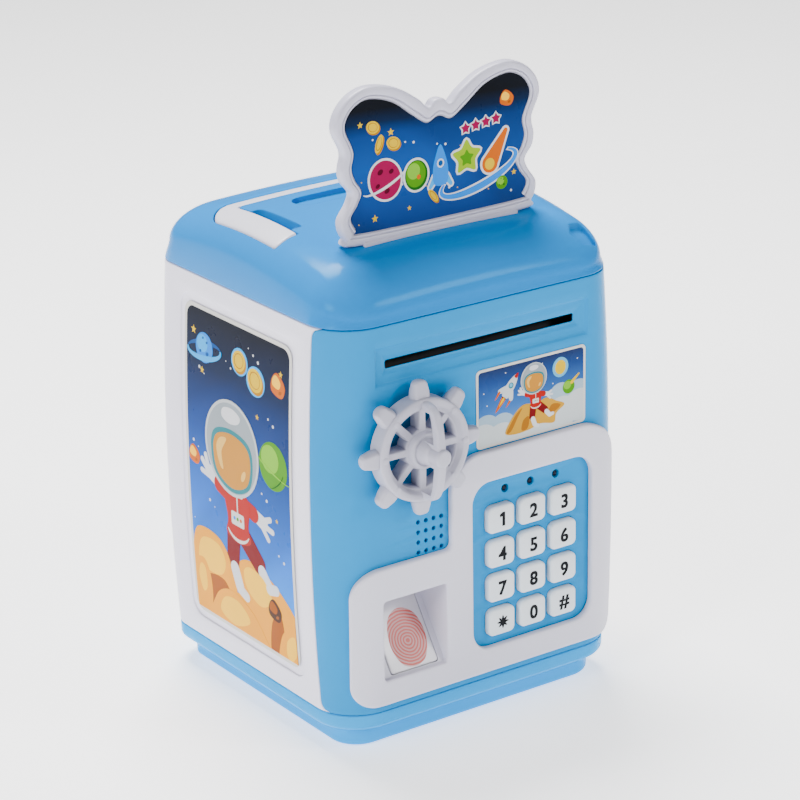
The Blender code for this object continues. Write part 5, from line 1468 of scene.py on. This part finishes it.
def side_picture():
    """Night sky with planets, an explorer and golden rocks, upright, centred on the label."""
    art = Print()
    hu, hv = SIDE_HALF
    pu = hu - 1.6
    pv = hv - 1.6
    clip = (-pu, pu, -pv, pv)
    art.shape(0.0, "cream", rect(-hu, hu, -hv, hv, 5.0, 12))
    art.base = 0.02
    art.shape(0.5, "night", rect(-pu, pu, -pv, pv, 4.2, 12))
    for u, v, r in ((-30.2, 52.9, 1.8), (-24.2, 38.5, 1.5), (29.5, 51.5, 1.4), (14.0, 30.8, 1.2),
                    (26.0, -6.5, 1.0)):
        spark(art, 2, u, v, r)
    for k in range(26):
        u = -33.0 + (k * 23.7) % 66.0
        v = -24.0 + (k * 37.9) % 83.0
        art.shape(1, "white", ellipse(u, v, 0.30 + 0.18 * (k % 3), 0.30 + 0.18 * (k % 3), 0.0, 8))
    art.shape(2, "cyan_dark", orbit(-22.6, 46.8, 11.6, 3.0, 8.0, 2.0, 15.0, 165.0))
    planet(art, 3, -22.6, 47.6, 5.9, "cyan", "cyan_light", "cyan_dark")
    art.shape(6, "cyan_light", orbit(-22.6, 46.8, 11.6, 3.4, 8.0, 2.2, 170.0, 370.0))
    coin(art, 3, 1.5, 49.0, 4.6, 0.92, 20.0)
    coin(art, 3, 12.5, 44.5, 5.2, 0.9, -15.0)
    art.shape(2, "cyan_light", ellipse(1.9, 48.7, 5.6, 5.3))
    art.shape(2, "cyan_light", ellipse(12.9, 44.1, 6.2, 5.8))
    boulder(art, 3, 27.7, 46.6, 4.8)
    boulder(art, 3, -31.0, 2.6, 4.0)
    planet(art, 3, 24.4, 14.6, 9.4, "green", "green_light")
    art.shape(6, "green_light", orbit(23.8, 14.6, 13.2, 2.4, -17.0, 0.7, 178.0, 340.0))
    art.shape(6, "green_dark", orbit(26.5, 9.5, 5.5, 1.6, 40.0, 0.5, 190.0, 350.0))
    art.shape(3, "rock", [(-pu, -pv), (pu, -pv), (pu, -46.0), (-pu, -46.0)], clip)
    rocks = (
        (4, "rock", [(-36.5, -44.0), (-33.5, -30.0), (-27.5, -26.0), (-15.0, -27.5), (-8.0, -36.0),
                     (-7.0, -52.0),
                     (-37.0, -56.0)]),
        (5, "rock_light", [(-31.0, -42.0), (-28.5, -31.0), (-16.5, -30.0), (-12.0, -36.5), (-17.0, -43.0)]),
        (5, "rock_dark", [(-30.0, -56.0), (-27.0, -46.0), (-14.0, -44.0), (-9.0, -52.0), (-16.0, -60.0)]),
        (6, "rock", [(-36.0, -52.0), (-33.0, -41.0), (-27.0, -40.0), (-23.5, -48.0), (-25.0, -59.0),
                     (-34.0, -62.0)]),
        (7, "rock_light", [(-32.5, -48.0), (-30.8, -42.6), (-27.6, -43.5), (-27.0, -51.0), (-30.0, -54.0)]),
        (4, "rock", [(-3.0, -34.0), (4.0, -29.5), (15.0, -31.0), (27.0, -36.0), (37.5, -46.0), (38.0, -64.0),
                     (8.0, -66.0), (-2.0, -46.0)]),
        (5, "rock_light", [(1.0, -35.0), (6.0, -32.0), (15.0, -34.0), (20.0, -41.0), (12.0, -46.0),
                           (3.0, -42.0)]),
        (5, "rock_dark", [(17.0, -64.0), (19.0, -50.0), (25.0, -45.0), (27.0, -53.0), (24.0, -66.0)]),
        (6, "rock", [(-24.0, -66.0), (-21.0, -53.0), (-12.0, -47.0), (-1.0, -48.0), (10.0, -55.0),
                     (15.0, -67.0)]),
        (7, "rock_light", [(-18.0, -58.0), (-14.0, -51.0), (-4.0, -50.0), (3.0, -56.0), (-8.0, -61.0)]),
        (6, "rock", [(23.0, -66.0), (25.0, -54.0), (31.0, -48.5), (38.0, -48.0), (39.0, -67.0)]),
        (7, "rock_light", [(28.0, -60.0), (29.0, -54.0), (34.0, -51.0), (34.5, -58.0), (31.0, -62.0)]),
    )
    for level, name, ctrl in rocks:
        art.shape(level, name, smooth(ctrl, 6), clip)
    boulder(art, 7, 21.5, -44.5, 4.6, ("brown", "rock_dark", "rock_dark"))
    explorer(art, 3, -1.2, -20.0, 1.0)
    return art


def build_side_labels():
    for sign, tag in ((-1.0, "left"), (1.0, "right")):
        art = side_picture()
        bm = art.bm
        slice_grid(bm, "Y", -SIDE_HALF[1] + 4.0, SIDE_HALF[1] - 4.0, 7.0)
        for v in bm.verts:
            u, up, lift = v.co
            z = SIDE_MID_Z + up
            v.co = Vector((sign * (half_width(z) - 0.42 + lift), SIDE_MID + sign * u, z))
        label = plain_object("side_print_" + tag, bm)
        finished(label, art.materials(), "body", ["label_" + tag], 25.0)


def front_picture():
    """Small landscape: sky and clouds, rocket, sun, ringed planet and the explorer on a rock."""
    art = Print(0.02)
    hu = (LABEL_BOX[1].x - LABEL_BOX[0].x) / 2.0
    hv = (LABEL_BOX[1].z - LABEL_BOX[0].z) / 2.0
    pu = hu - 1.0
    pv = hv - 1.0
    clip = (-pu, pu, -pv, pv)
    art.shape(0.0, "cream", rect(-hu, hu, -hv, hv, 1.9, 8))
    art.base = 0.02
    art.shape(0.5, "sky", rect(-pu, pu, -pv, pv, 1.4, 8))
    for u, v in ((-22.0, 6.0), (21.5, 10.5), (5.0, 12.0), (-12.0, 12.0), (10.0, 3.0), (-20.5, 1.0)):
        art.shape(1, "white", ellipse(u, v, 0.28, 0.28, 0.0, 8))
    for u, v, r, name, level in ((-21.0, -7.5, 5.0, "cloud_far", 1), (-13.5, -8.5, 5.2, "cloud_far", 1),
                                 (13.5, -2.0, 4.6, "cloud_far", 1), (22.0, -2.6, 4.8, "cloud_far", 1),
                                 (-22.5, -11.5, 5.6, "cloud", 2), (-14.0, -13.5, 6.5, "cloud", 2),
                                 (-5.0, -14.5, 6.0, "cloud", 2), (5.0, -13.0, 6.5, "cloud", 2),
                                 (14.0, -9.5, 6.6, "cloud", 2), (22.5, -8.0, 6.4, "cloud", 2)):
        art.shape(level, name, ellipse(u, v, r * 1.15, r), clip)
    art.shape(1, "glow", ellipse(13.5, 8.7, 3.7, 3.9))
    art.shape(2, "yellow", ellipse(13.5, 8.7, 2.5, 2.8))
    planet(art, 3, 17.4, 0.2, 2.8, "green", "green_light")
    art.shape(5, "yellow", stroke(18.8, 1.6, 0.7, 22.2, 4.4, 0.3))
    rocket(art, 3, -10.2, 5.8, 0.86, -38.0)
    art.shape(4, "sand", smooth([(-12.4, -11.4), (-8.0, -5.0), (-3.5, -2.2), (2.0, -3.0), (7.0, -1.8),
                                 (11.5, -4.0),
                                 (15.4, -6.2), (11.5, -9.0), (10.4, -12.4), (4.0, -11.4), (-1.0, -12.6),
                                 (-8.0, -13.0)], 5))
    art.shape(5, "sand_dark", smooth([(-11.6, -11.4), (-7.6, -5.6), (-4.4, -3.4), (-6.4, -6.4),
                                      (-9.6, -11.4)], 5))
    art.shape(5, "sand_dark", smooth([(-4.8, -12.0), (-4.0, -8.4), (-1.6, -7.2), (-1.2, -9.8), (-2.4, -12.2)],
                                     5))
    art.shape(5, "sand_dark", smooth([(7.4, -8.6), (9.4, -5.0), (13.6, -6.0), (10.6, -8.2)], 5))
    explorer(art, 6, 1.8, -3.6, 0.325)
    return art


def build_front_label():
    art = front_picture()
    mid_x = (LABEL_BOX[0].x + LABEL_BOX[1].x) / 2.0
    mid_z = (LABEL_BOX[0].z + LABEL_BOX[1].z) / 2.0
    for v in art.bm.verts:
        u, up, lift = v.co
        depth = FACE - 0.04 if lift < -0.01 else FACE - 0.3 - lift
        v.co = Vector((mid_x + u, depth, mid_z + up))
    label = plain_object("front_print", art.bm)
    finished(label, art.materials(), "door", ["front_label"], 25.0)


def outlined(art, level, name, outline, rim=0.85):
    """Bold shape with a thick white outline."""
    art.shape(level, "white", inset(outline, -rim))
    art.shape(level + 2, name, outline)


def sign_picture():
    """Deep blue sky with coins, planets and bright outlined shapes."""
    art = Print()
    art.shape(0.0, "sign_night", sign_outline(SIGN_PANEL_HALF, 0.25))
    art.base = 0.02
    for k in range(22):
        u = -36.0 + (k * 19.3) % 72.0
        v = 195.5 + (k * 11.7) % 32.0
        name = "yellow" if k % 3 == 0 else "white"
        art.shape(1, name, ellipse(u, v, 0.26 + 0.12 * (k % 3), 0.26 + 0.12 * (k % 3), 0.0, 8))
    for u, v, r in ((-34.6, 232.0, 1.3), (-21.4, 227.4, 1.5), (-29.0, 196.6, 1.5), (-13.8, 197.8, 1.0),
                    (33.6, 203.0, 1.2)):
        spark(art, 2, u, v, r)
    coin(art, 2, -29.2, 230.4, 3.0, 0.8, -20.0)
    coin(art, 2, -26.6, 223.9, 3.6, 0.42, 70.0)
    coin(art, 2, -20.4, 223.2, 3.1, 0.8, -20.0)
    boulder(art, 2, 30.4, 231.4, 3.2)
    art.shape(2, "white", orbit(17.4, 205.6, 17.6, 5.2, 16.0, 4.0, 150.0, 395.0, 60))
    art.shape(3, "cyan", orbit(17.4, 205.6, 17.6, 5.2, 16.0, 2.6, 153.0, 392.0, 60))
    outlined(art, 4, "pink", ellipse(-24.2, 210.2, 6.6, 7.4, 25.0))
    for u, v, r in ((-26.4, 213.4, 1.3), (-21.6, 213.0, 1.1), (-27.6, 208.4, 1.0), (-23.6, 206.0, 1.2),
                    (-20.6, 208.8, 0.8)):
        art.shape(7, "pink_dark", ellipse(u, v, r, r * 0.75, 30.0, 16))
    art.shape(7, "white", orbit(-24.2, 210.2, 10.4, 2.6, 22.0, 1.1, 185.0, 355.0))
    outlined(art, 4, "green_dark", ellipse(-10.6, 209.6, 5.0, 5.6))
    art.shape(7, "green", ellipse(-10.9, 210.0, 4.4, 4.9))
    art.shape(8, "green_light", ellipse(-11.8, 211.2, 2.8, 3.0))
    art.shape(9, "orange", ellipse(-9.6, 208.8, 0.9, 0.9, 0.0, 16))
    for side in (-1.0, 1.0):
        outlined(art, 3, "cyan_light", stroke(0.2 + side * 2.4, 207.0, 1.2, 0.2 + side * 4.6, 203.8, 0.7),
                 0.7)
    outlined(art, 5, "cyan", smooth([(-2.4, 204.4), (-3.2, 210.0), (-1.6, 216.0), (0.2, 219.2), (2.0, 216.0),
                                     (3.6, 210.0), (2.8, 204.4)], 6), 0.7)
    art.shape(7, "white", ellipse(0.2, 212.2, 1.6, 1.7))
    art.shape(8, "cyan_dark", ellipse(0.2, 212.2, 1.0, 1.1))
    outlined(art, 4, "lime", smooth(star(12.0, 212.4, 6.6, 5, 0.62), 4))
    art.shape(7, "green", smooth(star(12.0, 212.0, 3.2, 5, 0.62), 4))
    outlined(art, 4, "orange", stroke(22.6, 208.2, 3.6, 29.8, 219.6, 0.9))
    art.shape(7, "yellow", ellipse(22.4, 208.0, 2.2, 2.2))
    for k in range(4):
        outlined(art, 4, "pink", star(11.6 + 4.6 * k, 223.2 + 0.5 * k, 2.2, 5, 0.55), 0.6)
    coin(art, 4, -3.2, 200.6, 3.2, 0.42, -52.0)
    planet(art, 4, 28.0, 200.0, 2.6, "green", "green_light", "green_dark")
    return art


def build_sign_label():
    art = sign_picture()
    y0 = SIGN_Y[0]
    for v in art.bm.verts:
        u, up, lift = v.co
        depth = y0 + 1.15 if lift < -0.01 else y0 + 0.78 - lift
        v.co = Vector((u, depth, up))
    label = plain_object("sign_print", art.bm)
    finished(label, art.materials(), "body", ["sign_label"], 25.0)


# ---- fingerprint pad --------------------------------------------------------------------------------------
def print_ink_material():
    """Salmon ink broken into curved ridges round two centres, like a finger's print."""
    mat = bpy.data.materials.new("fingerprint_ink")
    mat.use_nodes = True
    tree = mat.node_tree
    shader = tree.nodes["Principled BSDF"]
    coords = tree.nodes.new("ShaderNodeTexCoord")
    shift = tree.nodes.new("ShaderNodeMapping")
    shift.inputs["Location"].default_value = -(PAD_MID + SHIFT - PAD_UP * 3.4 + Vector((1.0, 0.0, 0.0))) * MM
    tree.links.new(coords.outputs["Object"], shift.inputs["Vector"])
    wave = node(tree, "ShaderNodeTexWave", Scale=260.0, Distortion=2.2, Detail=2.0)
    wave.inputs["Detail Scale"].default_value = 0.9
    wave.wave_type = "RINGS"
    wave.rings_direction = "SPHERICAL"
    tree.links.new(shift.outputs["Vector"], wave.inputs["Vector"])
    tree.links.new(two_tone(tree, wave.outputs["Fac"], (0.54, 0.30, 0.29), (0.55, 0.075, 0.06), 0.36, 0.56),
                   shader.inputs["Base Color"])
    shader.inputs["Roughness"].default_value = 0.45
    bump = node(tree, "ShaderNodeBump", Strength=0.2, Distance=0.00008)
    tree.links.new(wave.outputs["Fac"], bump.inputs["Height"])
    tree.links.new(bump.outputs["Normal"], shader.inputs["Normal"])
    return mat


def build_finger_pad():
    bm = bmesh.new()
    face = 0.25
    tilted(bm, rect(-10.6, 10.6, -13.7, 13.7, 1.2, 6), [(0.0, -2.7), (0.0, face - 0.35), (0.05, face - 0.15),
                                                       (0.2, face - 0.03), (0.4, face)])
    pad = plain_object("finger_pad", bm)
    flange = bmesh.new()
    tilted(flange, rect(-12.0, 12.0, -15.0, 15.0, 1.2, 4), [(0.0, -3.8), (0.0, -2.65)])
    join(pad, flange)
    finished(pad, MATERIALS["pad"], "finger_button", ["fingerprint_button"], 40.0)
    bm = bmesh.new()
    oval = [(0.4, -13.2), (5.4, -11.6), (8.4, -6.6), (9.2, -0.6), (7.8, 5.4), (4.4, 8.6), (0.2, 9.2),
            (-4.0, 6.6),
            (-6.4, 0.8), (-6.8, -5.6), (-4.4, -11.4)]
    tilted(bm, smooth(oval, 6), [(0.0, face - 0.03), (0.0, face + 0.035)])
    mark = plain_object("finger_print_mark", bm)
    finished(mark, print_ink_material(), "finger_button", (), 40.0)


# ---- carried-over CAD nodes --------------------------------------------------------------------------
CARRIED = {
    "base_screw_1": "steel", "base_screw_2": "steel", "base_screw_3": "steel", "base_screw_4": "steel",
    "hinge_pin_bottom": "steel", "hinge_pin_top": "steel", "key_mat": "mat",
    "circuit_board": "board", "led_1": "led", "led_2": "led", "led_3": "led", "speaker": "dark",
    "feeder_housing": "dark", "drive_roller": "rubber", "pressure_roller": "rubber", "feeder_motor": "steel",
    "door_back_cover": "cover", "battery_cover": "cover", "cover_screw_1": "steel", "cover_screw_2": "steel",
    "cover_screw_3": "steel", "cover_screw_4": "steel", "battery_1": "cell", "battery_2": "cell",
    "battery_3": "cell", "latch_arm": "steel", "lock_solenoid": "steel", "lock_plunger": "steel",
}


def dress_cad_nodes():
    for name, mat in CARRIED.items():
        mesh = frame["nodes"][name].data
        mesh.materials.clear()
        mesh.materials.append(MATERIALS[mat])
        mesh.shade_smooth()
        mesh.set_sharp_from_angle(angle=radians(32.0))


# ---- stage, light, camera ---------------------------------------------------------------------------------
def stage_and_light():
    bm = bmesh.new()
    bmesh.ops.create_grid(bm, x_segments=1, y_segments=1, size=6.0)
    mesh = bpy.data.meshes.new("floor")
    bm.to_mesh(mesh)
    bm.free()
    floor = bpy.data.objects.new("floor", mesh)
    bpy.context.scene.collection.objects.link(floor)
    mat = bpy.data.materials.new("pale_floor")
    mat.use_nodes = True
    tree = mat.node_tree
    shader = tree.nodes["Principled BSDF"]
    noise = object_noise(tree, 3.0)
    tree.links.new(two_tone(tree, noise.outputs["Fac"], (0.9, 0.9, 0.905), (0.93, 0.93, 0.935)),
                   shader.inputs["Base Color"])
    shader.inputs["Roughness"].default_value = 0.6
    shader.inputs["Emission Color"].default_value = (1.0, 1.0, 1.0, 1.0)
    shader.inputs["Emission Strength"].default_value = 1.3
    mesh.materials.append(mat)

    world = bpy.data.worlds.new("studio")
    bpy.context.scene.world = world
    world.use_nodes = True
    back = world.node_tree.nodes["Background"]
    back.inputs["Color"].default_value = (1.0, 1.0, 1.0, 1.0)
    back.inputs["Strength"].default_value = 0.15

    area_light("side_softbox", (-1.15, -0.35, 0.70), (0.4, 0.4), 14.0)
    area_light("front_softbox", (0.75, -1.10, 0.80), (0.3, 0.3), 10.0)
    area_light("top_softbox", (0.10, 0.45, 1.2), (0.6, 0.4), 38.0)


def area_light(name, at, size, power):
    data = bpy.data.lights.new(name, "AREA")
    data.shape = "RECTANGLE"
    data.size = size[0]
    data.size_y = size[1]
    data.energy = power
    lamp = bpy.data.objects.new(name, data)
    bpy.context.scene.collection.objects.link(lamp)
    lamp.location = at
    aim = Vector((0.0, 0.0, 0.12)) - Vector(at)
    lamp.rotation_euler = aim.to_track_quat("-Z", "Y").to_euler()


def make_camera():
    azimuth = radians(34.949)
    forward = Vector((0.53722, 0.76869, -0.34715))
    roll = radians(-1.014)
    side = Vector((cos(azimuth), -sin(azimuth), 0.0))
    up = side.cross(forward)
    right = cos(roll) * side + sin(roll) * up
    top = -sin(roll) * side + cos(roll) * up
    data = bpy.data.cameras.new("camera")
    data.sensor_width = 36.0
    data.lens = 132.6
    data.clip_start = 0.01
    camera = bpy.data.objects.new("camera", data)
    bpy.context.scene.collection.objects.link(camera)
    spot = (Vector((-602.96, -870.69, 502.23)) + SHIFT) * MM
    columns = Matrix((right, top, -forward)).transposed().to_4x4()
    camera.matrix_world = Matrix.Translation(spot) @ columns
    bpy.context.scene.camera = camera


def main():
    make_camera()
    stage_and_light()
    dress_cad_nodes()
    build_base()
    build_feet()
    build_shell()
    build_lid()
    build_handle()
    build_sign()
    build_door()
    build_fascia()
    build_keys()
    build_wheel()
    build_side_labels()
    build_front_label()
    build_sign_label()
    build_finger_pad()


main()
